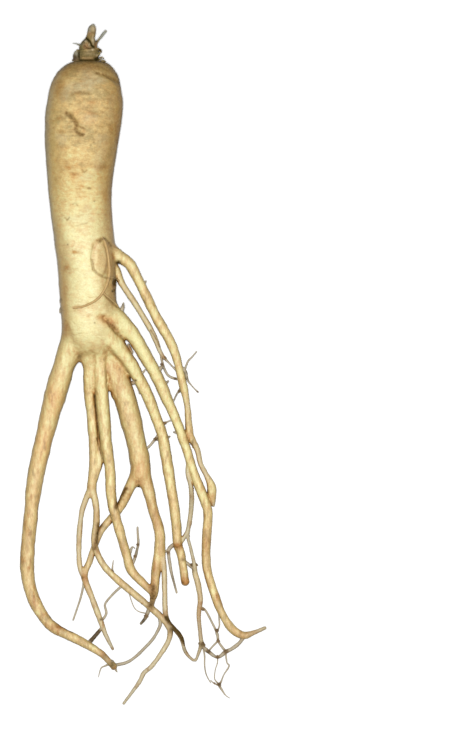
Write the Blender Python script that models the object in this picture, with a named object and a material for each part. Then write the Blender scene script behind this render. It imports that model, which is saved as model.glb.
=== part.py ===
"""Balloon flower root: one pale taproot that forks into long branch roots, lying on a surface.

Metres, +Z up. The root lies flat along Y with its crown towards +Y, and rests on z = 0.
Routes are read off a drawing grid: across (to the right), down (from the crown to the tips),
height above the surface and radius, all in grid units. The real length sets the grid's size.
"""
import math

import bmesh
import bpy
from mathutils import Vector

# Driving dimensions in metres
ROOT_LENGTH = 0.287
JOINT_GAP = 0.0003

# The drawing grid: the root's length on it, and the point that lies over the origin
GRID_LENGTH = 683.3
GRID_CENTRE_ACROSS = 143.6
GRID_CENTRE_DOWN = 363.4
GRID = ROOT_LENGTH / GRID_LENGTH

# How round the taproot is, its gentle lumps, and how finely strands are divided
BODY_FLATNESS = 0.94
BODY_SIDES = 26
BODY_STEP = 8.5
LUMP_WIDE = 0.8
LUMP_NARROW = 0.45
SHOULDER_DOWN = 66
FORK_DOWN = 345
SHARP_ANGLE = math.radians(76)
STRAND_STEP_PER_RADIUS = 2.3
STRAND_STEP_LEAST = 5.5
STRAND_STEP_MOST = 13.0
ROUND_END = ((0.55, 0.78), (0.85, 0.4))

ROOT_COLOUR = (0.62, 0.46, 0.24, 1.0)
CROWN_COLOUR = (0.20, 0.12, 0.06, 1.0)

# The taproot from its shoulder under the crown to the fork: across, down, height, radius
BODY = [
    (88.4, 61.3, 34.0, 12.0),
    (88.4, 62.4, 34.0, 17.0),
    (88.4, 65.0, 34.0, 21.6),
    (88.0, 70.0, 34.0, 26.6),
    (86.8, 77.5, 34.2, 31.4),
    (85.4, 88.0, 34.4, 35.2),
    (84.7, 104.0, 34.4, 37.7),
    (83.2, 120.0, 34.2, 37.9),
    (81.4, 140.0, 33.2, 36.6),
    (80.7, 160.0, 31.5, 34.6),
    (80.4, 180.0, 29.8, 32.5),
    (80.8, 200.0, 28.8, 31.0),
    (82.2, 222.0, 28.6, 30.2),
    (84.6, 246.0, 28.9, 29.6),
    (86.6, 268.0, 29.2, 29.2),
    (87.4, 290.0, 29.0, 28.0),
    (86.6, 308.0, 28.2, 25.8),
    (86.2, 324.0, 26.8, 24.2),
    (87.6, 338.0, 25.0, 20.8),
    (89.0, 350.0, 23.0, 15.0),
    (89.6, 357.0, 21.4, 7.5),
]

# Branch roots and rootlets: across, down, height, radius
LEFT_LEG = [
    (84, 316, 26, 14), (74, 336, 24, 12.8), (63.7, 365, 20, 11), (54, 400, 15.6, 10.3),
    (44, 440, 11.6, 8.6), (35.4, 480, 8.7, 7.5), (30.7, 520, 7.1, 6.6), (27.3, 558, 5.9, 6.8),
    (28.2, 577, 5.9, 6.4), (33, 596, 6.2, 5.8), (44, 616, 6.4, 5), (56, 628, 6, 4.5),
    (81.4, 641, 5.2, 3.8), (100.8, 652.9, 4.3, 3), (108.5, 660.5, 3.6, 2.6), (114, 666.6, 4, 3.4),
]
S1 = [
    (87, 330, 27, 9), (88.3, 352, 22.4, 7), (88.5, 368, 19, 5.8), (89.4, 395, 13.6, 5.1),
    (92.6, 420, 11, 5), (94, 455, 9.2, 4.2), (92.2, 485, 8, 3.9), (90.6, 494, 7.6, 3.4),
]
S1_LINK = [(103.5, 426, 12, 2.8), (100.5, 443, 9, 2.8), (97.5, 462, 8.2, 2.8), (93.6, 480, 8, 2.6)]
S1_LEFT = [
    (91.6, 486, 7.8, 3), (84.5, 504, 6.4, 2.7), (81.3, 519, 5.6, 2.3), (79.4, 545, 4.8, 2.6),
    (80, 566, 4, 2.6), (84.6, 578, 3.6, 2.6),
]
S1_RIGHT = [
    (91.4, 485, 7.8, 3.2), (95.8, 505, 7.8, 3), (96.2, 522, 7.4, 3.1), (94, 541, 7, 3),
    (97.6, 555, 6.4, 2.9), (106, 568.6, 5.2, 3), (120.2, 582.4, 4.4, 3.2), (140.6, 599.8, 4.2, 3.1),
    (159, 615.6, 4.2, 3), (166.6, 624.6, 3.9, 2.9), (170, 633, 3.3, 2.6), (166.6, 645, 2.8, 2.3),
    (152.9, 665, 2.5, 2.1), (144.2, 673.4, 2.4, 1.9), (139.2, 683, 2.2, 1.8),
    (123.6, 704, 1.7, 1.1),
]
S2 = [
    (97, 326, 27, 10), (99.6, 350, 23.6, 8.4), (101, 370, 20.4, 6.8), (102, 400, 17, 6.5),
    (105.6, 438, 13.6, 5.9), (109.5, 468, 11.6, 5.1), (111.2, 498, 9.2, 4.5), (116, 518, 8.2, 4.2),
    (126, 553, 6, 4), (131.6, 571, 5.2, 3.9), (143, 583, 4.8, 3.3), (152.6, 593.4, 4.6, 3),
]
S3 = [
    (107, 328, 20, 12), (113, 352, 15.6, 10.6), (119.8, 378, 12.6, 9.8), (126, 400, 11, 9.9),
    (131, 420, 10.6, 9.6), (136, 440, 10.2, 9.3), (139.6, 460, 9.8, 9.6), (140.2, 472, 9.4, 8.6),
    (139.4, 481, 9, 5.4),
]
S3_LEFT = [
    (138, 470, 9.6, 6), (128.4, 491, 6.6, 4.6), (119.7, 508, 4.8, 4.1), (110.8, 519, 3.8, 3.4),
    (101, 530.5, 3.5, 3), (94, 547, 3.3, 2.9), (88.6, 562, 3.2, 2.8), (84.5, 577, 3.6, 3.3),
    (92.4, 598, 3.1, 2.8), (101, 620.5, 2.9, 2.6), (105.9, 635.5, 2.4, 2), (112.4, 649.4, 1.8, 1.2),
]
S3_RIGHT = [
    (142, 468, 9.2, 6.4), (148, 489, 7.6, 5.5), (153, 510, 6.5, 4.8), (159.2, 530, 6, 4.9),
    (160.2, 545, 5.8, 4.8), (160.4, 554, 5.5, 4.4),
]
S3_KNOT = [
    (159, 545, 5.6, 4.2), (155.4, 570, 5, 3.9), (153.3, 586, 4.7, 3.3), (153, 594, 4.6, 3.6),
    (151.8, 602, 4.4, 2.3), (150.8, 609, 4.3, 2.2),
]
S3_THREAD = [
    (161.6, 546, 5.8, 3), (163.8, 566, 5.8, 2.5), (164.8, 592, 5.6, 2.3), (165.4, 612, 5.6, 2.2),
    (168, 622, 5.2, 2.2), (175.3, 630.4, 4.1, 2), (181.4, 638.6, 3, 1.8), (184.5, 650.8, 2.4, 1.6),
    (190.4, 658.6, 2.2, 1.5), (195.4, 660.4, 2.1, 1.4), (198.6, 653.4, 2.3, 1.5),
    (201.6, 645, 3, 2.7),
]
S4 = [
    (97, 321, 28, 15), (107, 335, 28.2, 12), (114.6, 344.6, 27, 9.8), (121.5, 352.4, 25, 8.4),
    (133, 368.4, 21, 6.9),
    (142.9, 386.4, 17.6, 5.9), (149, 399, 15.8, 5.5), (156.4, 418.7, 13.2, 5.3),
    (162, 435, 11.4, 5.3), (166, 456, 9.6, 5.4), (171.3, 490, 7.4, 5), (174.6, 510, 6.7, 4.7),
    (176.7, 530, 5.9, 4.3), (177.4, 545, 5.4, 4.3), (181, 556, 5, 3.9), (185.3, 582, 4.2, 3.4),
]
PALM = [(97, 303, 28.6, 18), (108, 319.6, 28.6, 12.5), (117, 331.6, 27, 8)]
S4_THREAD = [
    (176.5, 543, 5.4, 2), (169.6, 548.5, 4.2, 2), (168.4, 556, 3.2, 1.7), (171.4, 573, 2.2, 1.4),
    (176.6, 593, 1.8, 1),
]
S4_LINK = [
    (160, 433, 11.4, 1.8), (154, 440.6, 10.8, 1.3), (149.7, 446, 10.2, 1.2), (143, 452, 10, 1.2),
]
S5 = [
    (91, 284, 28.6, 20), (101, 299.4, 29.6, 14.6), (110, 311, 30, 10.8), (119, 319.4, 29.2, 8.6),
    (132.8, 335.6, 26.4, 7),
    (147.6, 360.4, 22.4, 6.2), (158.4, 380, 19.4, 5.7), (166.2, 398, 17, 5.1),
    (174.7, 417.5, 14.6, 4.6), (182.8, 438, 12, 4.3), (189.6, 460, 9.7, 4.1),
    (196.3, 479.5, 8, 4.2), (205.4, 503, 6.4, 4.6), (208, 515, 5.8, 4.5), (206.6, 536, 5, 4.4),
    (206, 559, 4, 4.6), (208.2, 574, 4.8, 4.3), (216.5, 599.5, 4.7, 3.9), (222, 613.4, 4.4, 3.8),
    (230.6, 627.6, 4.4, 4.1), (242, 635.6, 4, 3.8), (251.6, 634, 3.2, 2.7), (265, 628.4, 2.2, 1.7),
]
S5_THREAD = [
    (189.4, 461, 9, 3), (187.6, 473, 8, 2.3), (191.2, 488, 6.8, 2.1), (191.4, 506, 5.8, 2.1),
    (188.4, 528, 5, 2), (183.6, 538, 5, 2), (177, 546, 5.2, 2.2),
]
S5_TAIL = [
    (189.4, 523, 5.1, 1.8), (187.8, 536, 4.8, 1.6), (190.6, 549, 3.8, 1.4), (194.2, 563, 3.3, 1.8),
    (195, 573, 3.3, 2.7), (198.2, 585.6, 3.3, 2.8), (200.2, 600, 3, 2.5), (198.6, 615, 2.7, 2.2),
    (200.2, 634, 2.5, 1.9), (201.8, 645.4, 3.1, 2.8),
]
S5_BRIDGE = [(182.4, 560, 4.9, 2), (188.6, 564.6, 3.8, 1.6), (195, 570, 3.3, 1.7)]
S5_NET = [
    (244, 635.6, 3.8, 2.4), (240, 643, 3, 1.9), (232.4, 648.8, 2.6, 1.8), (225.8, 652.2, 2.5, 2.1),
    (217.4, 657.6, 2.2, 1.5), (208.6, 652.2, 2.4, 1.9), (201.6, 646, 3, 1.7),
]
S5_WEB = [
    (199.6, 607.6, 2.9, 1.2), (205.4, 610.8, 2.4, 1.1), (214.4, 627.4, 2, 1.1),
    (217.4, 635, 1.9, 1.5), (219, 643, 1.9, 1.2), (225.4, 651.6, 2.4, 1.3),
]
S6 = [
    (103, 246, 30, 9), (112, 251.4, 29.8, 7.2), (119, 256, 29, 6.3), (126.4, 260.8, 27.6, 5.6),
    (132.2, 267.6, 26.2, 5.4),
    (143, 289.6, 22.8, 5), (155.8, 315.8, 19.2, 4.9), (168.6, 338, 16.4, 4.5),
    (176.2, 356.4, 14.5, 4.2), (182.3, 382, 12.2, 4), (187, 406, 10.8, 3.2), (188.6, 427, 10.6, 3.7),
    (190.4, 437, 10, 3.9), (197.4, 450, 7.8, 2.8), (200.7, 464, 6.4, 2.4), (207, 475.6, 5.8, 2.6),
    (211.4, 486, 5.3, 4.2), (212, 495.5, 5.2, 4.6), (213.4, 505.5, 4.6, 1.7),
]
S7 = [
    (108, 261, 30, 6), (116.6, 270.6, 28.2, 4), (121.8, 282.6, 26, 3.2), (136.6, 304.8, 22.2, 2.7),
    (153.4, 332.4, 17.8, 2.5), (160.6, 351, 15.4, 2), (164.2, 358, 14.8, 1.9),
]
S7_TAIL = [
    (160.4, 350.6, 15.4, 1.3), (162.6, 364, 14.4, 1.1), (168.4, 375.6, 13.4, 1.1),
    (180, 379.6, 12.8, 1.2),
]
S2_SPUR = [
    (130.6, 567, 5.3, 1.9), (134.6, 558, 4.8, 1.5), (137.8, 545, 3.8, 1.3), (137.4, 527.6, 2.8, 1),
]
CROSS_THREAD = [
    (158.4, 616, 4.2, 1.9), (159.8, 626, 3.4, 1.6), (150.8, 641.6, 2.6, 1.5), (130.4, 661, 2.5, 1.5),
    (114.6, 665.6, 3.8, 1.6),
]
CROSS_STUB = [(149.6, 606.6, 4.2, 2.1), (145.9, 617, 3.3, 1.8), (140.8, 624, 2.8, 1.4)]
ZIGZAG = [
    (122.4, 584.6, 4.3, 1.6), (105, 605, 2.8, 1.25), (106, 614, 2.6, 1.25),
    (101.6, 621.4, 2.8, 1.4),
]
LEG_LINK = [(90.4, 646.6, 4.8, 1.7), (96.6, 635.4, 3.6, 1.5), (103.4, 625.6, 2.8, 1.4)]
HANGING_HAIR = [(84.4, 578.6, 3.4, 1.3), (80.4, 597.8, 2.4, 1.05), (72.9, 620.4, 1.7, 0.85)]

# A thin rootlet that lies on the taproot's upper side: across, down, radius
FRONT_ROOTLET = [
    (102.6, 236.5, 1.5), (107.6, 247.5, 1.6), (109.8, 258, 1.6), (110.2, 268, 1.6),
    (107.4, 285.4, 1.6), (102, 294.6, 1.6), (95.6, 300.9, 1.6), (85.6, 305.8, 1.5), (74.6, 308, 1.4),
]
SUNK_IN = 0.35

# Strands with the number of sides of each
STRANDS = [
    (LEFT_LEG, 11), (S1, 8), (S1_LINK, 6), (S1_LEFT, 6), (S1_RIGHT, 7), (S2, 8), (S3, 11),
    (S3_LEFT, 7), (S3_RIGHT, 8), (S3_KNOT, 6), (S3_THREAD, 6), (S4, 9), (PALM, 9), (S4_THREAD, 5),
    (S4_LINK, 5), (S5, 9), (S5_THREAD, 6), (S5_TAIL, 6), (S5_BRIDGE, 5), (S5_NET, 5),
    (S5_WEB, 5), (S6, 8), (S7, 6), (S7_TAIL, 5), (S2_SPUR, 5), (CROSS_THREAD, 5),
    (CROSS_STUB, 5), (ZIGZAG, 5), (LEG_LINK, 5), (HANGING_HAIR, 5),
]

# The crown: a ringed brown knob with the stub of a stem, a dry twig and two bud scales
CROWN_KNOB = [
    (88.8, BODY[0][1] - JOINT_GAP / GRID, 34, 9.8), (88.8, 58.8, 34, 10.3),
    (88.8, 56.4, 34, 9.6), (88.9, 54.2, 34, 10),
    (89, 51.8, 34, 9.1), (89.1, 49.6, 34.1, 9.3), (89.4, 46.6, 34.2, 8.2), (89.8, 43.8, 34.4, 6.4),
    (90.2, 42, 34.6, 3.8),
]
STEM_STUB = [
    (89.8, 48, 34.6, 4.6), (91.2, 38, 36, 4.1), (92.6, 29, 37.2, 3.9), (93.4, 24.6, 37.6, 3.2),
]
TWIG = [(95, 47, 36, 1.6), (98.6, 41.4, 38, 1.2), (102.4, 36.6, 39, 1.1), (106.4, 31.2, 39.6, 1.3)]
LEFT_SCALE = [(83, 57.2, 36, 2.3), (78.2, 55.6, 36.6, 2.4), (74.8, 51.4, 37, 1.4)]
RIGHT_SCALE = [(94.4, 57, 39, 2.4), (99.2, 53.4, 39.6, 2.7), (100.8, 48.2, 40, 1.4)]
CROWN_STRANDS = [(STEM_STUB, 9), (TWIG, 6), (LEFT_SCALE, 7), (RIGHT_SCALE, 7)]
CROWN_SIDES = 18
CROWN_STEP = 1.9


def grid_point(across, down, height):
    """The place in metres of a point on the drawing grid."""
    x = (across - GRID_CENTRE_ACROSS) * GRID
    y = (GRID_CENTRE_DOWN - down) * GRID
    return Vector((x, y, height * GRID))


def spline(before, start, end, after, t):
    """A Catmull-Rom point between start and end, for tuples of any length."""
    point = []
    for a, b, c, d in zip(before, start, end, after):
        curve = 2 * b + (c - a) * t + (2 * a - 5 * b + 4 * c - d) * t ** 2
        point.append(0.5 * (curve + (3 * b - a - 3 * c + d) * t ** 3))
    return tuple(point)


def resample(points, step_for):
    """Points along a smooth curve through the given ones, step_for(radius) grid units apart."""
    padded = [points[0]] + list(points) + [points[-1]]
    route = []
    for before, start, end, after in zip(padded, padded[1:], padded[2:], padded[3:]):
        pieces = max(1, round(math.dist(start[:3], end[:3]) / step_for(start[-1])))
        for piece in range(pieces):
            route.append(spline(before, start, end, after, piece / pieces))
    route.append(tuple(points[-1]))
    return route


def strand_step(radius):
    """The distance between a strand's rings, in grid units."""
    return min(STRAND_STEP_MOST, max(STRAND_STEP_LEAST, STRAND_STEP_PER_RADIUS * radius))


def add_rings(mesh, rings):
    """A closed skin over rings of points that all have the same number of sides."""
    loops = [[mesh.verts.new(point) for point in ring] for ring in rings]
    for lower, upper in zip(loops, loops[1:]):
        for side in range(len(lower)):
            after = (side + 1) % len(lower)
            mesh.faces.new((lower[side], lower[after], upper[after], upper[side]))
    mesh.faces.new(list(reversed(loops[0])))
    mesh.faces.new(loops[-1])
    bmesh.ops.recalc_face_normals(mesh, faces=mesh.faces[:])


def tube_rings(route, sides, flatness=1.0, swell=None):
    """Rings square to a route, carried along it without twist, with a rounded end."""
    places = [grid_point(*point[:3]) for point in route]
    radii = [point[3] * GRID for point in route]
    downs = [point[1] for point in route] + [route[-1][1]] * len(ROUND_END)
    heading = (places[-1] - places[-2]).normalized()
    last, tip_radius = places[-1], radii[-1]
    for advance, share in ROUND_END:
        places.append(last + heading * tip_radius * advance)
        radii.append(tip_radius * share)
    rings = []
    upward = Vector((0, 0, 1))
    for index, (place, radius, down) in enumerate(zip(places, radii, downs)):
        ahead = places[min(index + 1, len(places) - 1)] - places[max(index - 1, 0)]
        ahead.normalize()
        upward = (upward - ahead * upward.dot(ahead)).normalized()
        sideways = ahead.cross(upward)
        ring = []
        for side in range(sides):
            angle = 2 * math.pi * (side + 0.5) / sides
            reach = radius + (swell(angle, down) * GRID if swell else 0)
            offset = sideways * math.cos(angle) + upward * math.sin(angle) * flatness
            ring.append(place + offset * reach)
        rings.append(ring)
    return rings


def make_object(name, rings, colour=None, roughness=0.7):
    """An object from closed rings, shaded smooth."""
    mesh = bmesh.new()
    add_rings(mesh, rings)
    data = bpy.data.meshes.new(name)
    mesh.to_mesh(data)
    mesh.free()
    piece = bpy.data.objects.new(name, data)
    bpy.context.scene.collection.objects.link(piece)
    if colour:
        material = bpy.data.materials.new(name)
        material.use_nodes = True
        shader = material.node_tree.nodes["Principled BSDF"]
        shader.inputs["Base Color"].default_value = colour
        shader.inputs["Roughness"].default_value = roughness
        shader.inputs["Metallic"].default_value = 0.0
        data.materials.append(material)
    return piece


def bake(piece):
    """Replace an object's mesh by its shape with all modifiers applied."""
    graph = bpy.context.evaluated_depsgraph_get()
    done = bpy.data.meshes.new_from_object(piece.evaluated_get(graph))
    piece.modifiers.clear()
    piece.data = done
    done.shade_smooth()
    done.set_sharp_from_angle(angle=SHARP_ANGLE)


def fuse(piece, others):
    """One Boolean union of a piece with all the others, which are then removed."""
    group = bpy.data.collections.new(piece.name + "_strands")
    bpy.context.scene.collection.children.link(group)
    for other in others:
        bpy.context.scene.collection.objects.unlink(other)
        group.objects.link(other)
    union = piece.modifiers.new("fuse", "BOOLEAN")
    union.operand_type = "COLLECTION"
    union.collection = group
    union.operation = "UNION"
    union.solver = "EXACT"
    bake(piece)
    for other in others:
        bpy.data.objects.remove(other, do_unlink=True)
    bpy.data.collections.remove(group)


def cut_at_surface(piece):
    """Cut off what is below z = 0, which leaves the small flat places that the root rests on."""
    depth = 20 * GRID
    bpy.ops.mesh.primitive_cube_add(size=1, location=(0, 0, -depth / 2))
    cutter = bpy.context.object
    cutter.scale = (1.2 * ROOT_LENGTH, 1.2 * ROOT_LENGTH, depth)
    cutter.hide_render = True
    cutter.display_type = "WIRE"
    cut = piece.modifiers.new("surface", "BOOLEAN")
    cut.object = cutter
    cut.operation = "DIFFERENCE"
    cut.solver = "EXACT"
    bake(piece)
    bpy.data.objects.remove(cutter, do_unlink=True)


def body_at(down):
    """Across, height and radius of the taproot's axis at a place down the grid."""
    for upper, lower in zip(BODY, BODY[1:]):
        if down <= lower[1]:
            share = (down - upper[1]) / (lower[1] - upper[1])
            return [upper[i] + share * (lower[i] - upper[i]) for i in (0, 2, 3)]
    return [BODY[-1][i] for i in (0, 2, 3)]


def body_lump(angle, down):
    """How far the taproot swells past its plain round form, fading out at both ends."""
    fade = min(1.0, max(0.0, (down - SHOULDER_DOWN) / 20))
    fade *= min(1.0, max(0.0, (FORK_DOWN - down) / 30))
    wide = LUMP_WIDE * math.sin(2 * angle + down / 38)
    return fade * (wide + LUMP_NARROW * math.sin(3 * angle - down / 17))


def on_body(points):
    """Set a route of across, down and radius on the taproot's upper side, partly sunk in."""
    route = []
    for across, down, radius in points:
        middle, height, girth = body_at(down)
        angle = math.acos((middle - across) / girth)
        reach = girth + body_lump(angle, down)
        rise = BODY_FLATNESS * reach * math.sin(angle)
        route.append((across, down, height + rise + SUNK_IN * radius, radius))
    return route


def make_root():
    """The taproot with every branch root and rootlet fused to it."""
    route = resample(BODY, lambda radius: BODY_STEP)
    rings = tube_rings(route, BODY_SIDES, BODY_FLATNESS, body_lump)
    root = make_object("root", rings, ROOT_COLOUR, 0.68)
    strands = []
    for number, (points, sides) in enumerate(STRANDS + [(on_body(FRONT_ROOTLET), 5)]):
        rings = tube_rings(resample(points, strand_step), sides)
        strands.append(make_object(f"strand_{number}", rings))
    fuse(root, strands)
    cut_at_surface(root)
    return root


def make_crown():
    """The brown crown on top of the taproot's shoulder, a little clear of it."""
    knob = tube_rings(resample(CROWN_KNOB, lambda radius: CROWN_STEP), CROWN_SIDES)
    crown = make_object("crown", knob, CROWN_COLOUR, 0.85)
    parts = []
    for number, (points, sides) in enumerate(CROWN_STRANDS):
        rings = tube_rings(resample(points, lambda radius: 3.2), sides)
        parts.append(make_object(f"crown_part_{number}", rings))
    fuse(crown, parts)
    return crown


def main():
    for thing in list(bpy.data.objects):
        bpy.data.objects.remove(thing, do_unlink=True)
    make_root()
    make_crown()


main()
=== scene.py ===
"""Looks of a balloon flower root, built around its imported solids.

Everything is worked out in grid units: across, down, height above the surface and radius.
Only the last step turns them into metres: +X across, +Y towards the crown, +Z up.
"""

import itertools
import math
import random

import bpy
import numpy as np
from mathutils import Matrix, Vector
from mathutils.bvhtree import BVHTree


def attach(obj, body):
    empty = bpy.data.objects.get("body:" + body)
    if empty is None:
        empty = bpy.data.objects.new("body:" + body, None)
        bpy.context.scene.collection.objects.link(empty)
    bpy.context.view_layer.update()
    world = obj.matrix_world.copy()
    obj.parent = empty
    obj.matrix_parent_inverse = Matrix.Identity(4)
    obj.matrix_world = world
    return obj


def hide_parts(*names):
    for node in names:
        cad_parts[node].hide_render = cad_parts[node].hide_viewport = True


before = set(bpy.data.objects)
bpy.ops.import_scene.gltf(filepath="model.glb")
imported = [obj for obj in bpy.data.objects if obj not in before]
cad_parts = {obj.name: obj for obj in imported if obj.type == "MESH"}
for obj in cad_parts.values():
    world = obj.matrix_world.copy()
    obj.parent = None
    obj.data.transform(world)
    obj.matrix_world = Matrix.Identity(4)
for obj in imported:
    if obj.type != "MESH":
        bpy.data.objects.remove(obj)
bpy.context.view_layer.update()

# The drawing grid, as in the solids
ROOT_LENGTH = 0.287
GRID_LENGTH = 683.3
GRID_CENTRE_ACROSS = 143.6
GRID_CENTRE_DOWN = 363.4
GRID = ROOT_LENGTH / GRID_LENGTH

# The taproot: its height over its width, how far its lumps stand out, and where it starts and forks
BODY_FLATNESS = 0.94
LUMP_WIDE = 0.8
LUMP_NARROW = 0.45
SHOULDER_DOWN = 66
FORK_DOWN = 345

# The taproot's axis: across, down, height, radius
BODY = [
    (88.4, 61.3, 34, 12), (88.3, 62.4, 34, 17.2), (87.8, 65, 34, 22.2), (87.2, 70, 34, 27.2),
    (86.8, 77.5, 34.2, 31.4), (85.7, 88, 34.4, 34.8), (84.8, 104, 34.4, 37.5), (83, 120, 34.2, 38.1),
    (81.4, 140, 33.2, 37.2), (80.8, 160, 31.5, 35.3), (80.4, 180, 29.8, 33.3), (80.8, 200, 28.8, 31.7),
    (82.1, 222, 28.6, 30.6), (84.6, 246, 28.9, 29.7), (87, 268, 29.2, 28.6), (87.8, 290, 29, 27.2),
    (87.2, 308, 28.2, 25.4), (86.6, 324, 26.8, 23.6), (87.6, 338, 25, 20.8), (89, 350, 23, 15),
    (89.6, 357, 21.4, 7.5),
]

# Branch roots and rootlets: across, down, height, radius
LEFT_LEG = [
    (84, 316, 26, 13.6), (74.8, 336, 24, 12.3), (64.2, 365, 20, 10.9), (53.8, 400, 15.6, 10.4),
    (43.5, 440, 11.6, 8.9), (34.8, 480, 8.7, 7.9), (30, 520, 7.1, 7.1), (26.8, 558, 5.9, 7.1),
    (27.6, 577, 5.9, 6.8), (32.3, 596.6, 6.2, 6.3), (43.2, 617, 6.4, 5.5), (55.2, 629, 6, 5),
    (81, 642, 5.2, 4.3), (100.2, 653.4, 4.3, 3.5), (108.2, 661.2, 3.6, 3.1), (113.4, 666.8, 4, 3.7),
]
S1 = [
    (87, 330, 27, 9), (88.3, 352, 22.4, 7), (88.5, 368, 19, 5.8), (89.4, 395, 13.6, 5.2),
    (92.3, 420, 11, 5.3), (93.6, 455, 9.2, 4.7), (91.9, 485, 8, 4.2), (90.4, 494, 7.6, 3.5),
]
S1_LINK = [(103.5, 426, 12, 2.8), (101, 443, 9.4, 3.2), (99.3, 462, 8.6, 3.8), (94.4, 480, 8, 2.8)]
S1_WEB = [(97.4, 402, 11.4, 1.5), (97.8, 418, 10.2, 1.8), (98.6, 432, 9.2, 2), (99.4, 446, 8.6, 2)]
S1_LEFT = [
    (91.4, 486, 7.8, 3.2), (83.8, 504, 6.4, 2.8), (80.5, 519, 5.6, 2.5), (78.7, 545, 4.8, 2.8),
    (79.4, 566, 4, 2.8), (84, 578, 3.6, 2.8),
]
S1_RIGHT = [
    (91.4, 485, 7.8, 3.4), (95.8, 505, 7.8, 3.2), (96.2, 522, 7.4, 3.3), (94, 541, 7, 3.3),
    (97.6, 555, 6.4, 3.2), (106, 568.8, 5.2, 3.3), (120.2, 582.6, 4.4, 3.5), (140.6, 599.8, 4.2, 3.3),
    (159, 615.6, 4.2, 3.2), (166.6, 624.6, 3.9, 3), (170, 633, 3.3, 2.8), (166.6, 645, 2.8, 2.5),
    (152.9, 665, 2.5, 2.3), (143.9, 673.4, 2.4, 2.1), (138.9, 683, 2.2, 2), (123.6, 704, 1.7, 1.4),
]
S2 = [
    (97, 326, 27, 10), (99.6, 350, 23.6, 8.4), (101, 370, 20.4, 6.9), (102.2, 400, 17, 6.7),
    (105.6, 438, 13.6, 6), (109.5, 468, 11.6, 5.3), (111.2, 498, 9.2, 4.9), (115.8, 518, 8.2, 4.7),
    (125.8, 553, 6, 4.5), (131.4, 571, 5.2, 4.4), (143, 583.4, 4.8, 3.9), (152.6, 593.4, 4.6, 3.4),
]
S3 = [
    (107, 328, 20, 12), (113, 352, 15.6, 10.8), (119.2, 378, 12.6, 10.9), (125.5, 400, 11.4, 10.8),
    (130.6, 420, 10.8, 10.5), (135.6, 440, 10.4, 10), (139.4, 460, 10, 10), (140.2, 472, 9.4, 9),
    (139.4, 481, 9, 5.6),
]
S3_WEB = [(112.6, 370, 14, 7), (114.4, 384, 12.6, 5.8), (116.4, 393, 12, 5)]
S3_LEFT = [
    (138, 470, 9.6, 6), (128, 491, 6.6, 5.2), (119.5, 508, 4.8, 4.4), (110.6, 519, 3.8, 3.8),
    (101, 530.5, 3.5, 3.4), (94, 547, 3.3, 3.3), (89.2, 562, 3.3, 3.4), (84.3, 577, 3.6, 3.6),
    (91.6, 598, 3.1, 3), (100, 620.5, 2.9, 2.8), (105.6, 635.5, 2.4, 2.2), (112.4, 649.4, 1.8, 1.4),
]
S3_RIGHT = [
    (142, 468, 9.2, 6.4), (148, 489, 7.6, 6), (153, 510, 6.5, 5.3), (159, 530, 6, 5.2),
    (160.2, 545, 5.8, 5), (160.4, 554, 5.5, 4.6),
]
S3_KNOT = [
    (159, 545, 5.6, 4.2), (156, 570, 5, 4.6), (154.6, 586, 4.7, 4.4), (153.8, 595, 4.6, 4),
    (152.2, 602, 4.4, 2.7), (150.8, 609, 4.3, 2.2),
]
S3_THREAD = [
    (161.6, 546, 5.8, 3), (163.8, 566, 5.8, 2.7), (164.6, 592, 5.6, 2.6), (165.2, 612, 5.6, 2.5),
    (168, 622, 5.2, 2.4), (175.3, 630.4, 4.1, 2.2), (181.4, 638.6, 3, 2.1), (184.5, 650.8, 2.4, 1.9),
    (190.4, 658.6, 2.2, 1.7), (195.4, 660.8, 2.1, 1.6), (198.6, 653.4, 2.3, 1.6), (201.6, 645, 3, 2.8),
]
S4 = [
    (97, 321, 28, 15), (107, 335, 28.2, 12), (114.6, 344.6, 27, 9.8), (121.5, 352.4, 25, 8.4),
    (133, 368.4, 21, 6.9), (142.9, 386.4, 17.6, 6), (149, 399, 15.8, 5.6), (156.4, 418.7, 13.2, 5.4),
    (161.9, 435, 11.4, 5.5), (166, 456, 9.6, 5.7), (171.3, 490, 7.4, 5.4), (174.6, 510, 6.7, 5.1),
    (176.7, 530, 5.9, 4.7), (177.5, 545, 5.4, 4.6), (181.2, 556, 5, 4.3), (185.2, 582, 4.3, 4),
]
PALM = [(97, 303, 28.6, 15.6), (108, 319.6, 28.6, 12), (117, 331.6, 27, 8)]
S4_THREAD = [
    (176.5, 543, 5.4, 2), (169.6, 548.5, 4.2, 2), (168.4, 556, 3.2, 1.7), (171.4, 573, 2.2, 1.4),
    (176.6, 593, 1.8, 1),
]
S4_LINK = [(160, 433, 11.4, 1.8), (154, 440.6, 10.8, 1.3), (149.7, 446, 10.2, 1.2), (143, 452, 10, 1.2)]
S5 = [
    (91, 284, 28.6, 18.4), (101, 299.4, 29.6, 12), (110, 311, 30, 9.2), (119.2, 319.2, 29.2, 8.6),
    (133.1, 335.5, 26.4, 7.3), (147.9, 360.2, 22.4, 6.5), (158.7, 380, 19.4, 6), (166.4, 398, 17, 5.4),
    (174.9, 417.5, 14.6, 4.9), (182.8, 438, 12, 4.6), (189.6, 460, 9.7, 4.4), (196.3, 479.5, 8, 4.4),
    (205.4, 503, 6.4, 4.8), (208, 515, 5.8, 4.7), (206.6, 536, 5, 4.6), (206, 559, 4, 4.6),
    (208, 574, 4.8, 4.5), (216.2, 599.5, 4.7, 4.2), (221.8, 613.4, 4.4, 4), (230.6, 627.6, 4.4, 4.1),
    (242, 635.6, 4, 3.8), (251.6, 634, 3.2, 2.7), (265, 628.4, 2.2, 1.8),
]
S5_THREAD = [
    (189.4, 461, 9, 3), (187.6, 473, 8, 2.4), (191, 488, 6.8, 2.3), (191.2, 506, 5.8, 2.3),
    (188.4, 528, 5, 2.2), (183.6, 538, 5, 2.1), (177, 546, 5.2, 2.2),
]
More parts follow.
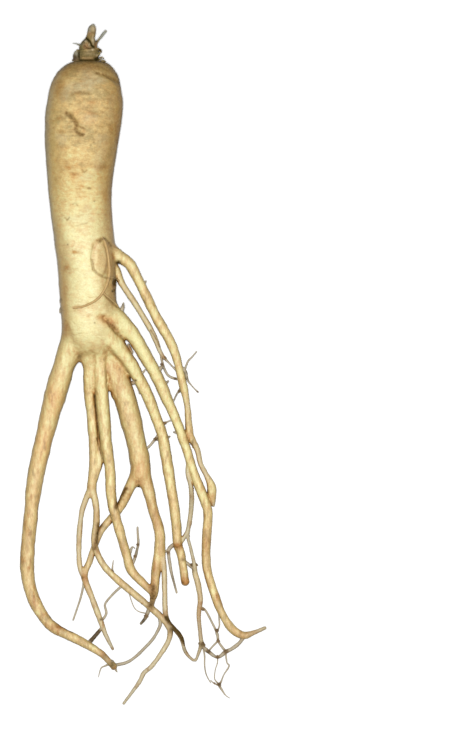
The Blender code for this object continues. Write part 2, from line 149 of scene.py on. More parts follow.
S5_TAIL = [
    (189.4, 523, 5.1, 1.8), (187.8, 536, 4.8, 1.7), (190.6, 549, 3.8, 1.6), (194, 563, 3.3, 2),
    (195, 573, 3.3, 2.9), (198.2, 585.6, 3.3, 3), (200.2, 600, 3, 2.8), (198.6, 615, 2.7, 2.4),
    (200.2, 634, 2.5, 2.1), (201.8, 645.4, 3.1, 2.8),
]
S5_BRIDGE = [(182.4, 560, 4.9, 2), (188.6, 564.6, 3.8, 1.6), (195, 570, 3.3, 1.7)]
S5_NET = [
    (244, 635.6, 3.8, 2.4), (240, 643, 3, 1.9), (232.4, 648.8, 2.6, 1.8), (225.8, 652.2, 2.5, 2.1),
    (217.4, 657.6, 2.2, 1.5), (208.6, 652.2, 2.4, 1.9), (201.6, 646, 3, 1.7),
]
S5_WEB = [
    (199.6, 607.6, 2.9, 1.2), (205.4, 610.8, 2.4, 1.1), (214.4, 627.4, 2, 1.1), (217.4, 635, 1.9, 1.5),
    (219, 643, 1.9, 1.2), (225.4, 651.6, 2.4, 1.3),
]
S6 = [
    (103, 247, 30, 9), (112, 252.2, 29.8, 7.2), (119, 256.6, 29, 6.2), (126.4, 261, 27.6, 5.6),
    (132.2, 267.6, 26.2, 5.4), (143, 289.6, 22.8, 5), (155.6, 315.8, 19.2, 5), (168.2, 338, 16.4, 4.9),
    (175.9, 356.4, 14.5, 4.5), (182.2, 382, 12.2, 4.1), (187.2, 406, 10.8, 3.3), (188.8, 427, 10.6, 3.8),
    (190.4, 437, 10, 3.9), (197.4, 450, 7.8, 2.9), (200.5, 464, 6.4, 2.6), (206.6, 475.6, 5.8, 2.8),
    (211.2, 486, 5.3, 4.2), (212, 495.5, 5.2, 4.6), (213.4, 505.5, 4.6, 1.7),
]
S7 = [
    (108, 261, 30, 6), (116.6, 270.6, 28.2, 4), (121.6, 282.8, 26, 3.2), (136.1, 305.1, 22.2, 2.8),
    (152.4, 332.9, 17.8, 2.7), (159.9, 351.4, 15.4, 2.2), (164.2, 358, 14.8, 1.9),
]
S7_TAIL = [
    (160.4, 350.6, 15.4, 1.3), (162.6, 364, 14.4, 1.1), (168.4, 375.6, 13.4, 1.1), (180, 379.6, 12.8, 1.2),
]
S2_SPUR = [(130.6, 567, 5.3, 1.9), (134.6, 558, 4.8, 1.5), (137.8, 545, 3.8, 1.3), (137.4, 527.6, 2.8, 1)]
CROSS_THREAD = [
    (158.4, 616, 4.2, 1.9), (159.8, 626, 3.4, 1.6), (150.8, 641.6, 2.6, 1.5), (130.4, 661, 2.5, 1.5),
    (114.6, 665.6, 3.8, 1.6),
]
CROSS_STUB = [(149.6, 606.6, 4.2, 2.1), (145.9, 617, 3.3, 1.8), (140.8, 624, 2.8, 1.4)]
ZIGZAG = [
    (121.4, 586.4, 4.3, 1.3), (112, 595.4, 3.4, 1.1), (104.8, 604.4, 2.8, 1.1), (105.8, 614, 2.6, 1.2),
    (101.2, 621.4, 2.8, 1.3),
]
LEG_LINK = [(87.6, 644.6, 4.8, 2.1), (94.6, 636.8, 3.8, 2), (103.4, 626, 2.8, 1.6)]
HANGING_HAIR = [(84.4, 578.6, 3.4, 1.3), (80.4, 597.8, 2.4, 1.05), (72.9, 620.4, 1.7, 0.85)]

# Rootlets that lie on the skin: across, down, radius
FRONT_ROOTLET = [
    (102.4, 237.6, 1.1), (104.4, 241, 1.35), (106.4, 247, 1.5), (108.2, 256, 1.5), (109.6, 268, 1.5),
    (109.2, 276, 1.5), (106.8, 285, 1.45), (102.4, 293.6, 1.35), (96, 300.4, 1.25), (86, 305.6, 1.15),
    (78, 307.6, 1.1), (73.6, 308.2, 0.9),
]
SCAR_LINK = [
    (108.6, 276.6, 1), (111.4, 277.2, 0.95), (114, 278, 0.95), (116.4, 279, 0.9), (119, 280.6, 0.9),
]
UPPER_RIM = [(103, 292.6, 0.9), (107, 296.2, 1.25), (111, 299.6, 1.25), (115, 303.2, 1), (118, 306.6, 0.7)]

# Finer rootlets, spurs and hairs that only the looks have: across, down, height, radius
EXTRA_THREADS = [
    [(164.3, 358.2, 14.8, 1.5), (168.9, 362.8, 14.2, 0.8), (172, 366, 13.8, 0.8), (177, 371, 13.6, 1)],
    [(182, 373, 13, 1.4), (185, 368, 13.6, 0.9), (188, 361, 13.6, 0.8), (192, 357, 13.6, 0.7),
     (196.5, 351.5, 13.4, 0.55)],
    [(182.6, 368, 13.2, 1.5), (185.7, 372.5, 13.2, 1.4), (187.4, 379.4, 12.4, 1.1), (192, 386, 11.2, 0.55),
     (197.6, 391.8, 10, 0.7)],
    [(183, 384, 12.2, 1.6), (179.3, 391, 11.8, 1.4), (177, 393.6, 12.2, 0.9), (174.4, 399, 13.4, 0.8),
     (171.6, 404, 14.8, 0.8)],
    [(189, 433, 10, 1.9), (192.5, 441.7, 9, 1.4), (193, 447.6, 8, 0.8)],
    [(142, 285, 23.4, 2.2), (144.6, 282.6, 23.6, 1.3), (145.9, 281, 23.6, 0.7)],
    [(119.6, 313, 29.6, 2.6), (122.6, 307.6, 31, 1.8), (123.5, 302.8, 31.2, 0.6)],
    [(158.6, 370, 20.4, 2.6), (161.6, 366.8, 20.8, 1.6), (163, 365.2, 20.8, 0.9)],
    [(163.6, 384.6, 18.6, 2.2), (166.6, 382.4, 18.6, 1.4), (168.2, 381, 18.6, 0.8)],
    [(178, 433, 12.6, 1.9), (175.6, 432.4, 12.6, 1.2), (173.6, 432, 12.4, 0.7)],
    [(161.4, 423.6, 12.8, 2), (164.4, 423, 12.8, 1.6), (167.4, 421.8, 13, 0.75), (171.8, 420, 13.6, 0.7)],
    [(165.6, 438, 11.2, 2), (168.4, 437, 11.2, 1.3), (169.8, 436.4, 11.2, 0.7)],
    [(133, 383, 19.4, 2.2), (135.4, 380.4, 20.6, 1.5), (136.4, 384, 19.4, 0.7), (139.4, 394, 16.6, 0.45)],
    [(141.4, 373.6, 20, 1.2), (143.8, 371.4, 20.6, 0.9), (145.2, 369.6, 21, 0.6)],
    [(219, 612, 4, 1.3), (219, 618.3, 3, 0.85), (219.4, 626, 2.4, 0.8), (217, 633, 2, 0.8)],
    [(218.3, 641.2, 2, 1.1), (212.9, 646.6, 2, 0.8), (208.6, 652, 2.4, 0.9)],
    [(203, 648, 2.6, 1), (204.6, 656, 2, 0.75), (204.5, 664.2, 1.6, 0.7), (205.4, 671.8, 1.3, 0.65),
     (207.5, 678, 1.1, 0.6), (210.6, 683.3, 1, 0.5)],
    [(217.5, 656, 2.2, 0.8), (217.5, 663, 1.6, 0.55), (215.2, 671, 1.2, 0.5), (214.6, 679.5, 1, 0.6),
     (219, 684.8, 1.5, 0.9)],
    [(225.7, 652, 2.5, 1), (226.7, 662.7, 1.6, 0.7), (229, 666.5, 1.4, 0.8), (223.6, 675.7, 1.2, 0.7),
     (221.3, 681.8, 1.3, 0.9), (219.4, 685.4, 1.5, 1.5), (221.3, 689.4, 1.2, 1.1), (225.2, 695.6, 0.9, 0.6),
     (229.7, 698.7, 0.7, 0.35)],
    [(210.6, 681, 1.1, 0.5), (214, 684, 1.3, 0.7), (218.6, 686, 1.5, 0.9)],
    [(111, 663, 3.8, 3), (114.4, 668, 3.8, 1.9), (116.8, 672.4, 3.2, 0.5)],
    [(109, 664.6, 3.4, 1.3), (104, 666.8, 2.8, 0.85), (100.8, 669, 2.4, 0.7), (98.3, 677.6, 1.2, 0.35)],
    [(125.6, 587.6, 4.4, 1.1), (128.4, 592.7, 3.6, 0.55), (133.5, 607, 2.6, 0.5), (138.6, 612, 2.4, 0.5),
     (145.2, 613.6, 2.8, 0.6)],
    [(111.6, 574.6, 5, 1.5), (112, 569.6, 5, 0.9), (113.2, 560.6, 4.8, 0.4)],
    [(128.2, 560, 6, 2.2), (131.6, 547.8, 5, 0.9), (134.6, 548.6, 4, 0.5)],
    [(162, 554, 5.4, 1.6), (166, 551.4, 4.6, 1), (169.4, 548.6, 4.2, 1)],
    [(63.4, 296, 27, 1.8), (61, 299.6, 27, 1.3), (60.2, 302.4, 26.6, 0.6)],
    [(63, 306, 26, 1.8), (60.6, 309.6, 26, 1.3), (60, 312.6, 25.6, 0.6)],
    [(128.4, 345, 22, 1.5), (130.2, 349.6, 24, 1.6), (132.2, 352.4, 23, 1.2)],
]

# Routes drawn into the skin itself: how orange at the start and the end, below 0 for cream, and the flare
SKIN_STRANDS = [
    (LEFT_LEG, 0.3, 0.75, 0.7), (S1, 0.1, 0.5, 0.7), (S2, 0, 0.8, 1.2), (S1_LINK, 0.3, 0.6, 0.5),
    (S1_WEB, 0.4, 0.4, 0.3), (S3, 0.5, 0.7, 0.5), (S3_WEB, 0.4, 0.4, 1), (S4, -0.4, 0.7, 0.5),
    (PALM, 0.1, 0, 0.5), (S5, -0.8, 0.9, 0.5), (S6, 0.1, 0.6, 0.4), (S7, 0.2, 0.4, 0.25),
    (S1_LEFT, 0.5, 0.9, 0.7), (S1_RIGHT, 0.5, 0.6, 0.7), (S3_LEFT, 0.55, 0.9, 0.7),
    (S3_RIGHT, 0.6, 0.8, 0.7), (S3_KNOT, 0.7, 1, 0.7), (S3_THREAD, 0.6, 0.7, 0.5),
    (S5_THREAD, 0.6, 0.9, 0.5), (S5_TAIL, 0.6, 0.6, 0.5),
]

# Routes that are separate fine tubes
FINE_STRANDS = [
    S4_THREAD, S4_LINK, S5_BRIDGE, S5_NET, S5_WEB, S7_TAIL, S2_SPUR, CROSS_THREAD, CROSS_STUB,
    ZIGZAG, LEG_LINK, HANGING_HAIR,
]

# Dark knots on the fine rootlets: across, down, height, radius
KNOTS = [
    (164.3, 357.6, 14.9, 2.1), (161.8, 364.4, 14.4, 1.6), (175.4, 378.8, 12.8, 1.5), (197.6, 391.8, 10, 1),
    (179.4, 391.2, 11.8, 1.7), (155.7, 439.2, 11, 2), (164.4, 423, 12.8, 1.9), (187.6, 535.7, 4.8, 2.1),
    (192, 565, 3.4, 1.9), (195.8, 565, 3.4, 1.9), (194.6, 571.5, 3.4, 2.1), (208.3, 652, 2.6, 2.1),
    (217.5, 657.8, 2.3, 2), (225.9, 652, 2.6, 2.2), (216.9, 630.8, 2.2, 1.9), (218.3, 641.2, 2, 1.7),
    (201.8, 644.6, 3, 3.1), (219.2, 685, 1.6, 2), (214.4, 683.6, 1.4, 1.1), (84.4, 578, 4, 2.4),
    (101.5, 622, 2.9, 2.2), (167.8, 553, 4, 1.6), (134.8, 556.6, 4.8, 1.5), (137.6, 545, 3.8, 1.4),
    (146, 616.4, 3.4, 2), (112.2, 571.4, 5, 1.5), (191.2, 488, 6.8, 2.5), (203, 610, 2.7, 1.7),
]

# Soft patches of colour by kind, some of them painted shade, painted shadows or painted highlights: across,
# down, half width, half height, strength
PATCHES = {
    "brown": [
        # Painted shade among these: (88, 67) towards the crown, (92, 349), (79, 354), (104, 352) and (66,
        # 327) round the fork, (118, 366) and (124, 378) on the third branch under the fourth, and painted
        # shadows where rootlets pass under one another at (97, 534), (153, 586), (151, 604) and (206, 545);
        # the rest are stains
        (65, 73, 10, 6, 0.35), (88, 67, 30, 7, 0.42), (117, 130, 4, 34, 0.5), (110, 150, 5, 40, 0.25),
        (107, 212, 5, 30, 0.35), (64, 300, 6, 30, 0.2), (60, 200, 5, 60, 0.12), (110, 101, 6, 6, 0.4),
        (112, 130, 5, 8, 0.45), (78, 94, 7, 2, 0.4), (62, 132, 4, 2, 0.35), (69, 168, 3.4, 2.4, 0.6),
        (74, 174.6, 5.6, 2, 0.55), (84, 172, 2.6, 1.4, 0.5), (103, 167, 7, 5, 0.45), (78, 165, 22, 6, 0.2),
        (117, 167, 3, 6, 0.6), (106, 195, 5, 9, 0.4), (67, 268, 3.6, 4.4, 0.65), (70, 273.4, 2.4, 2, 0.4),
        (75.6, 252.4, 5, 1.9, 1), (92, 103, 3.2, 1.4, 0.35), (99, 240.5, 4, 2.2, 0.6),
        (108, 231, 6, 9, 0.3), (99.4, 251, 2.6, 2.2, 0.45), (103, 316.6, 5, 2.2, 0.6),
        (111, 322, 4.4, 3, 0.6), (130.6, 348, 2.8, 4, 1.3), (114, 287, 4, 8, 0.55), (118, 366, 7, 10, 0.4),
        (124, 378, 5, 6, 0.35), (92, 349, 3, 5, 0.35), (79, 354, 4, 4, 0.4), (104, 352, 2, 6, 0.4),
        (138, 483, 5, 5, 0.55), (89, 487, 4, 3, 0.35), (97, 534, 3, 14, 0.45), (177.6, 546, 5, 3.4, 1.1),
        (185, 580, 5, 5, 0.4), (153, 586, 5, 12, 0.5), (151, 604, 4, 7, 0.6), (84, 577, 4, 5, 0.8),
        (106, 659, 6, 5, 0.25), (56, 628, 7, 4, 0.35), (45, 616, 6, 4, 0.3), (164, 357, 3, 4, 0.7),
        (187, 437, 4, 6, 0.6), (164, 348, 3, 8, 0.35), (212, 499, 5, 9, 0.35), (200, 625, 4, 22, 0.35),
        (254, 634, 10, 5, 0.45), (241, 637, 8, 5, 0.3), (168, 622, 5, 6, 0.4), (176, 632, 10, 6, 0.55),
        (190, 655, 8, 8, 0.4), (108, 246, 4, 5, 0.4), (60, 119, 4, 1.6, 0.35), (206, 545, 5, 14, 0.5),
        (155, 515, 5, 12, 0.4), (124, 552, 4, 8, 0.1), (149, 300, 5, 12, 0.15), (124, 498, 4, 8, 0.5),
        (84, 108, 12, 9, 0.2), (84, 306.4, 12, 2.6, 0.4), (103, 287, 4, 8, 0.4), (59, 88, 7, 14, 0.42),
        (106, 124, 5, 7, 0.25), (185, 582, 6, 5, 1), (110, 98, 4, 6, 0.35), (70, 64.6, 4, 2, 0.5),
        (62, 627, 11, 3.4, 0.8), (66, 292, 4, 14, 0.3), (104, 655, 5, 5, 0.5), (66, 327, 5, 10, 0.5),
        (117, 285, 3, 10, 0.5), (113.4, 256, 3.2, 8, 0.7), (126, 496, 6, 8, 0.5),
    ],
    "dark": [
        # Painted shade among these: (79.6, 357) in the crotch of the fork, (114.8, 282.4) and (114.6, 291) in
        # the hollows on the taproot's right, and painted shadows where rootlets pass under one another at
        # (101, 525.6), (153, 605) and (94.6, 636.6)
        (102, 167, 6, 3.6, 0.13), (82, 578, 1.8, 1.6, 0.6), (101, 620, 2.2, 1.6, 0.7),
        (104, 62.8, 2.6, 1.4, 0.7), (101, 61.8, 1.6, 1, 0.6), (108, 321, 1.2, 1.6, 0.6),
        (112.6, 325.6, 1.3, 1.4, 0.6), (118, 333.6, 1.2, 1.2, 0.6), (106, 657, 4, 4, 0.35),
        (183, 583, 1.4, 1.2, 0.5), (112, 664.6, 5, 4.6, 0.75), (95, 323, 0.9, 0.9, 0.7),
        (89.2, 188.6, 1.9, 1.6, 0.45), (94.6, 201.6, 1, 0.9, 0.45), (68, 244.6, 1, 1, 0.5),
        (91, 146, 1, 0.9, 0.4), (94, 143, 1, 0.9, 0.35), (100, 242, 1.8, 1.2, 0.6),
        (104.5, 238.6, 2, 1.2, 0.7), (118.4, 263, 2.2, 2.2, 1.3), (138.4, 486.4, 1.8, 1.8, 1.1),
        (114.8, 282.4, 1.9, 3.2, 1.1), (114.6, 291, 1.5, 1.4, 0.8), (79.6, 357, 2.4, 3.4, 0.55),
        (123.4, 305.6, 1.6, 2.6, 0.6), (135.6, 380.4, 1.6, 1.2, 0.9), (162.4, 366, 1.8, 1.2, 0.6),
        (167.6, 382, 1.6, 1.2, 0.6), (174.4, 432.4, 1.4, 1, 0.6), (168.8, 437, 1.2, 1.2, 0.7),
        (186.6, 372, 1.4, 2, 0.8), (187.2, 378.4, 1.4, 2, 0.8), (192.6, 443, 1.6, 4, 0.6),
        (61, 299.6, 1.4, 2, 0.5), (60.6, 309.6, 1.4, 2, 0.5), (163.6, 370, 1.6, 6, 0.4),
        (94.6, 636.6, 4.6, 6, 1.5), (153, 605, 3, 5, 0.5), (174, 630, 5, 5, 0.9), (179.6, 636, 3, 3, 0.6),
        (185, 650, 3, 5, 0.4), (143, 621, 4, 6, 1.1), (172.6, 582, 3, 9, 0.6), (208, 652, 3, 2, 0.6),
        (136, 551, 3, 8, 0.6), (191, 500, 2, 14, 0.35), (202, 645, 4, 4, 0.7), (219, 685, 3, 3, 0.7),
        (119, 500, 3, 2, 0.6), (146, 281, 1, 1, 0.4), (101, 525.6, 3, 2.4, 0.6), (176, 395, 3, 5, 0.5),
        (183, 560, 3, 2, 0.5), (192, 571, 4, 4, 0.5), (218, 641, 3, 3, 0.5), (217, 631, 3, 3, 0.5),
        (207, 672, 3, 10, 0.45), (217, 657, 2.4, 2.4, 0.5), (226, 652, 2, 2, 0.4),
    ],
    "pink": [
        (94, 103, 6, 3, 0.6), (91, 114, 5, 3, 0.8), (76, 114, 4, 3, 0.5), (92, 122, 8, 6, 0.4),
        (66, 149, 5, 3, 0.5), (74, 178, 5, 3, 0.7), (100, 262, 7, 14, 0.7), (112.5, 378, 5, 5, 0.25),
        (117, 372, 8, 14, 0.3), (42, 446, 8, 14, 0.7), (34, 500, 7, 14, 0.4), (140, 470, 9, 12, 0.7),
        (36, 602, 8, 10, 0.3), (172, 500, 6, 12, 0.3), (205, 528, 5, 12, 0.3), (55, 400, 9, 18, 0.95),
        (43, 446, 9, 26, 0.85), (29, 540, 7, 24, 0.15), (146, 290, 5, 6, 0.3), (81, 120, 5, 5, 0.4),
        (84, 132, 3, 1.8, 0.8), (106, 320, 9, 5.5, 1), (100, 258, 6, 16, 0.5),
    ],
    "pale": [
        # Many of these lie down the middles of the taproot and the branch roots as painted highlights; the
        # small spots on the upper taproot and on the scar are paler skin
        (83, 131.4, 2, 1.2, 0.4), (176, 500, 3, 12, 0.4), (148, 400, 3, 10, 0.3), (180, 430, 3, 16, 0.8),
        (78, 150, 6, 4, 0.7), (85, 97, 7, 2, 0.7), (78, 170, 5, 3, 0.5), (84, 212, 8, 9, 0.4),
        (82, 265, 9, 18, 0.5), (84, 290, 11, 12, 0.5), (81, 328, 12, 12, 0.4), (80, 98, 6, 2, 0.3),
        (103, 268, 2.4, 6, 0.3), (65, 354, 7, 14, 0.8), (124, 352, 4, 6, 0.5), (134, 335, 4, 8, 0.5),
        (111, 312, 4, 4, 0.5), (136, 438, 6, 14, 0.9), (132, 268, 5, 6, 0.3),
    ],
}

# Lines pressed into the skin, the colour of some of them painted shade: half width, depth, colour, its
# strength, and the line's points
CREASES = [
    (2.5, 1.5, "dark", 0.5, [(66.6, 113.8), (70, 116), (72.6, 118.6)]),
    (2.1, 1.4, "dark", 0.5, [(72, 118.4), (75.4, 122), (77, 125.6), (76, 130.6)]),
    (1.7, 1.2, "dark", 0.52, [(76, 130.6), (78, 133.6), (81, 135.2), (83.4, 135.4)]),
    (1, 0.7, "dark", 0.36, [(78, 126.6), (81, 127.8), (84.4, 129.4)]),
    (1.8, 1.1, "dark", 0.48, [(97, 73.6), (106, 75.6), (114, 80), (120, 84)]),
    (1.4, 0.35, "dark", 0.26, [(72.6, 95), (76, 93.4), (80, 92.4), (84, 93.4), (89, 94.8)]),
    (0.8, 0.3, "dark", 0.35, [(65, 218), (67, 220.4), (69.6, 218)]),
    (0.8, 0.25, "dark", 0.25, [(73, 204.6), (76, 203.6), (78, 206)]),
    (0.8, 0.25, "dark", 0.3, [(82.6, 170.4), (84.6, 173), (87, 170.6)]),
    (0.8, 0.2, "dark", 0.2, [(76, 226.4), (82, 224.6), (88, 223)]),
    (2.2, 0.9, "brown", 0.4, [(98, 241.6), (94.8, 247), (93.4, 256), (92.8, 264)]),
    (1.1, 0.9, "dark", 0.36, [(92.4, 260), (93.8, 269.6), (97.6, 273.8), (102, 276), (111, 279)]),
    (1.4, 0.9, "dark", 0.5, [(98.6, 241.6), (101.6, 239.4), (105.6, 238.8), (108.4, 241.6), (111, 246)]),
    # Painted shadow of the front rootlet on the skin beside it
    (2.6, 0.1, "brown", 0.35, [(107, 245), (110, 256), (111.6, 268), (111, 277), (108.4, 286), (104, 294.4),
                               (97, 301.4), (87, 306.8), (74, 309.6)]),
    (3, 2, "brown", 0.6, [(99.6, 316.4), (104.6, 318.4), (110.6, 323.6), (115.4, 330), (120.4, 336.6)]),
    (1.1, 0.9, "dark", 0.5, [(107.6, 320.6), (110, 324.4), (114.6, 328), (116, 331.6), (120.6, 336),
                             (126, 342.4)]),
    (0.7, 0.3, "dark", 0.35, [(109.6, 326.6), (113, 329.6), (116, 334.6)]),
    # Painted shade in the fold between the left leg and the taproot
    (3.4, 0.4, "brown", 0.22, [(67, 326), (70, 335), (74, 345), (77, 352), (80, 359)]),
    # Painted shade in the groove between the first two branches
    (1, 0.7, "brown", 0.35, [(94.2, 364), (93.8, 376), (93.8, 390)]),
    # Painted shade in the two hollows on the taproot's right
    (1.4, 1.6, "dark", 1, [(115.6, 279.6), (114.6, 282), (114.2, 285)]),
    (0.9, 1.2, "dark", 0.7, [(115, 290), (112.6, 291.4)]),
    (0.9, 0.6, "dark", 0.7, [(96.6, 438), (99, 447), (101.6, 457), (103.2, 466)]),
    # Painted shade in the crotch between the second and third branches
    (1, 0.5, "brown", 0.5, [(107.8, 372), (108.8, 384), (109.4, 392)]),
    (1, 0.2, "dark", 0.6, [(50, 617), (56, 622.6), (64, 628.6), (72, 632.6)]),
    # Painted shadow where the short link rootlet crosses near the leg's end
    (2.2, 0, "dark", 1.6, [(91.4, 640.6), (95, 636.2), (98.4, 632)]),
    (0.8, 0.4, "dark", 0.5, [(173.4, 546.8), (177, 547.6), (181.4, 545)]),
    # The next three are painted shade in the grooves at the fork and on the third branch's top under the
    # fourth
    (1.4, 0.8, "brown", 0.4, [(94.6, 354), (94.2, 366)]),
    (1.6, 0.8, "brown", 0.35, [(106.6, 352), (107.2, 376), (108, 392)]),
    (2, 0.8, "brown", 0.5, [(108, 347.6), (113.6, 355), (120.4, 364), (127, 373), (133, 383)]),
    (0.8, 0.6, "dark", 0.5, [(150.6, 330), (154, 335.4), (157, 341), (159.6, 347)]),
    (0.9, 0.5, "brown", 0.7, [(186, 431), (188.8, 438), (190.6, 446)]),
    (0.6, 0.3, "dark", 0.3, [(151.6, 302.6), (154.6, 306.4)]),
    (0.9, 0.6, "dark", 0.3, [(103.6, 294.6), (110, 300), (117, 306.6)]),
    (2, 0.2, "dark", 0.85, [(126, 489), (121.4, 496), (117.8, 502.6), (116, 507.4)]),
    (2.4, 0, "dark", 1.25, [(166.4, 618), (173, 625.6), (179, 633.6), (185, 644)]),
    # The next two are painted shadows where rootlets pass under one another, and the third is painted shade
    # in the crotch by the third branch
    (3.4, 0, "dark", 0.7, [(153, 588), (153, 597), (150.6, 607)]),
    (2.2, 0, "dark", 0.7, [(98, 524), (97.6, 532), (96, 541), (95, 549)]),
    (1.6, 0.3, "brown", 0.5, [(107.4, 372), (112, 388), (117, 404)]),
]

# The field that the skin is drawn from: a regular grid of cells over the whole root
CELL = 0.8
FIELD_LOW = np.array((16.0, 56.0, -4.0))
FIELD_HIGH = np.array((272.0, 712.0, 74.0))
BODY_BOX = np.array(((34, 56, -4), (134, 366, 74)))
CORNERS = list(itertools.product((0, 1), repeat=3))
HASH = np.array((73856093, 19349663, 83492791), dtype=np.int64)
HASH_MIX = 1274126177
SEED_STEP = 7.13

# Further off than anything that matters, and the taproot's thickness for the colours
FAR = 50.0
THICK = 30.0

# Strands: points this far apart, how far a flare reaches, and how much of it there is at a far end
STRAND_STEP = 2.4
FLARE_REACH = 1.4
FAR_END_FLARE = 0.6
LEAST_BLEND = 0.3

# The box of the fork that is melted, how often, how near the skin, and how its top and other edges fade
FORK_BOX = np.array(((44, 316, 4), (132, 380, 60)))
SOFTENINGS = 20
SOFT_REACH = 7
SOFT_TOP = 14
SOFT_EDGE = 12

# How often the vertices are evened out over the surface, how far each time, and the least slope reckoned with
SETTLINGS = 3
SETTLE_SHARE = 0.6
LEAST_SLOPE = 0.2

# How the mesh is thinned: its triangles, what is underside and its share kept, and what counts as small
SKIN_TRIANGLES = 194000
UNDERSIDE_SLOPE = -0.15
UNDERSIDE_KEPT = 0.27
SMALL_PATCH = 4.5

# Wrinkles: how many, the deepest, and where they and the taproot's marks fade out above the fork
WRINKLES = 190
DEEPEST_WRINKLE = 0.34
MARKS_END = 330

# The scar on the taproot's front: across, down, half width, half height, and how far it stands out
SCAR = (100, 259, 7.4, 17.5)
SCAR_HEIGHT = 0.9

# Tubes: how far out the rings of a rounded end lie and how wide they are, in radii, and the tip
CAPS = ((0.5, 0.82), (0.85, 0.45))
CAP_TIP = 0.2

# Rootlets on the skin: higher than all of it, and how much of a radius their middle stands out
ABOVE_ALL = 200
STANDING_OUT = 0.25


def noise(points, size, seed):
    """Smooth noise from -1 to 1, the same on every run, with features of a size, one number or three."""
    spots = points / np.asarray(size, dtype=float) + seed * SEED_STEP
    corner = np.floor(spots).astype(np.int64)
    share = spots - corner
    share = share * share * (3 - 2 * share)
    total = np.zeros(len(points))
    for step in CORNERS:
        key = ((corner + step) * HASH).sum(axis=1)
        key = (key ^ (key >> 13)) * HASH_MIX
        value = ((key ^ (key >> 16)) & 0xFFFF) / 32767.5 - 1
        total += value * np.prod(np.where(step, share, 1 - share), axis=1)
    return total


def smooth_step(low, high, value):
    """0 below low, 1 above high, smooth in between; low may be the larger one."""
    share = np.clip((value - low) / (high - low), 0, 1)
    return share * share * (3 - 2 * share)


def resample(route, step):
    """Points on a smooth curve through a route, about step apart, as an array."""
    route = np.asarray(route, dtype=float)
    padded = np.vstack((route[:1], route, route[-1:]))
    parts = []
    for a, b, c, d in zip(padded, padded[1:], padded[2:], padded[3:]):
        pieces = max(2, round(float(np.linalg.norm(c[:3] - b[:3])) / step))
        t = (np.arange(pieces) / pieces)[:, None]
        curve = 2 * b + (c - a) * t + (2 * a - 5 * b + 4 * c - d) * t ** 2
        parts.append(0.5 * (curve + (3 * b - a - 3 * c + d) * t ** 3))
    return np.vstack(parts + [route[-1:]])


def lengths(points):
    """The distance along a route at each of its points."""
    steps = np.linalg.norm(np.diff(points[:, :3], axis=0), axis=1)
    return np.concatenate(((0,), np.cumsum(steps)))


def to_metres(points):
    """Grid points as places in the frame."""
    middle = np.array((GRID_CENTRE_ACROSS, GRID_CENTRE_DOWN, 0))
    return (points - middle) * (GRID, -GRID, GRID)


def to_grid(places):
    """Places in the frame as grid points."""
    return places / (GRID, -GRID, GRID) + (GRID_CENTRE_ACROSS, GRID_CENTRE_DOWN, 0)


# The taproot's axis as a fine curve, in order down the grid
BODY_CURVE = resample(BODY, 1.5)
BODY_CURVE = BODY_CURVE[np.argsort(BODY_CURVE[:, 1], kind="stable")]


def body_at(down):
    """Across, height and radius of the taproot's axis at places down the grid."""
    return [np.interp(down, BODY_CURVE[:, 1], BODY_CURVE[:, i]) for i in (0, 2, 3)]


def body_lump(angle, down):
    """How far the taproot swells past its plain round form."""
    fade = np.clip((down - SHOULDER_DOWN) / 20, 0, 1) * np.clip((FORK_DOWN - down) / 30, 0, 1)
    wide = LUMP_WIDE * np.sin(2 * angle + down / 38)
    return fade * (wide + LUMP_NARROW * np.sin(3 * angle - down / 17))


def sample(field, points):
    """A field's value at grid points, blended between its cells."""
    spots = np.clip((points - FIELD_LOW) / CELL, 0, np.array(field.shape) - 1.001)
    corner = spots.astype(int)
    share = spots - corner
    total = np.zeros(len(points))
    for step in CORNERS:
        i, j, k = (corner + step).T
        total += field[i, j, k] * np.prod(np.where(step, share, 1 - share), axis=1)
    return total


def slope(field, points):
    """How a field changes along each way at grid points."""
    ways = np.eye(3) * CELL * 0.6
    sides = [sample(field, points + way) - sample(field, points - way) for way in ways]
    return np.stack(sides, axis=1) / (1.2 * CELL)


def cells_of(low, high, shape):
    """First and last cell of the part of the grid between two corners."""
    first = np.maximum(0, np.floor((low - FIELD_LOW) / CELL).astype(int))
    last = np.minimum(shape, np.ceil((high - FIELD_LOW) / CELL).astype(int) + 1)
    return first, last


def axes_of(first, last):
    """The places of the cells from first to last, along each way."""
    return [FIELD_LOW[i] + CELL * np.arange(first[i], last[i]) for i in range(3)]


def part_of(first, last):
    """The index of the cells from first to last."""
    return tuple(slice(start, stop) for start, stop in zip(first, last))


def add_body(field):
    """Write the taproot into an empty field."""
    first, last = cells_of(*BODY_BOX, field.shape)
    across, down, height = axes_of(first, last)
    middle, level, girth = body_at(down)
    lean = np.sqrt(1 + np.gradient(girth, down) ** 2)
    dx = middle[None, :, None] - across[:, None, None]
    dz = (height[None, None, :] - level[None, :, None]) / BODY_FLATNESS
    angle = np.arctan2(dz, dx)
    reach = girth[None, :, None] + body_lump(angle, down[None, :, None])
    past = np.maximum(0, down - BODY[-1][1])[None, :, None]
    distance = (np.sqrt(dx ** 2 + dz ** 2 + past ** 2) - reach) / lean[None, :, None]
    distance = np.maximum(distance, (BODY[0][1] - down)[None, :, None])
    field[part_of(first, last)] = distance


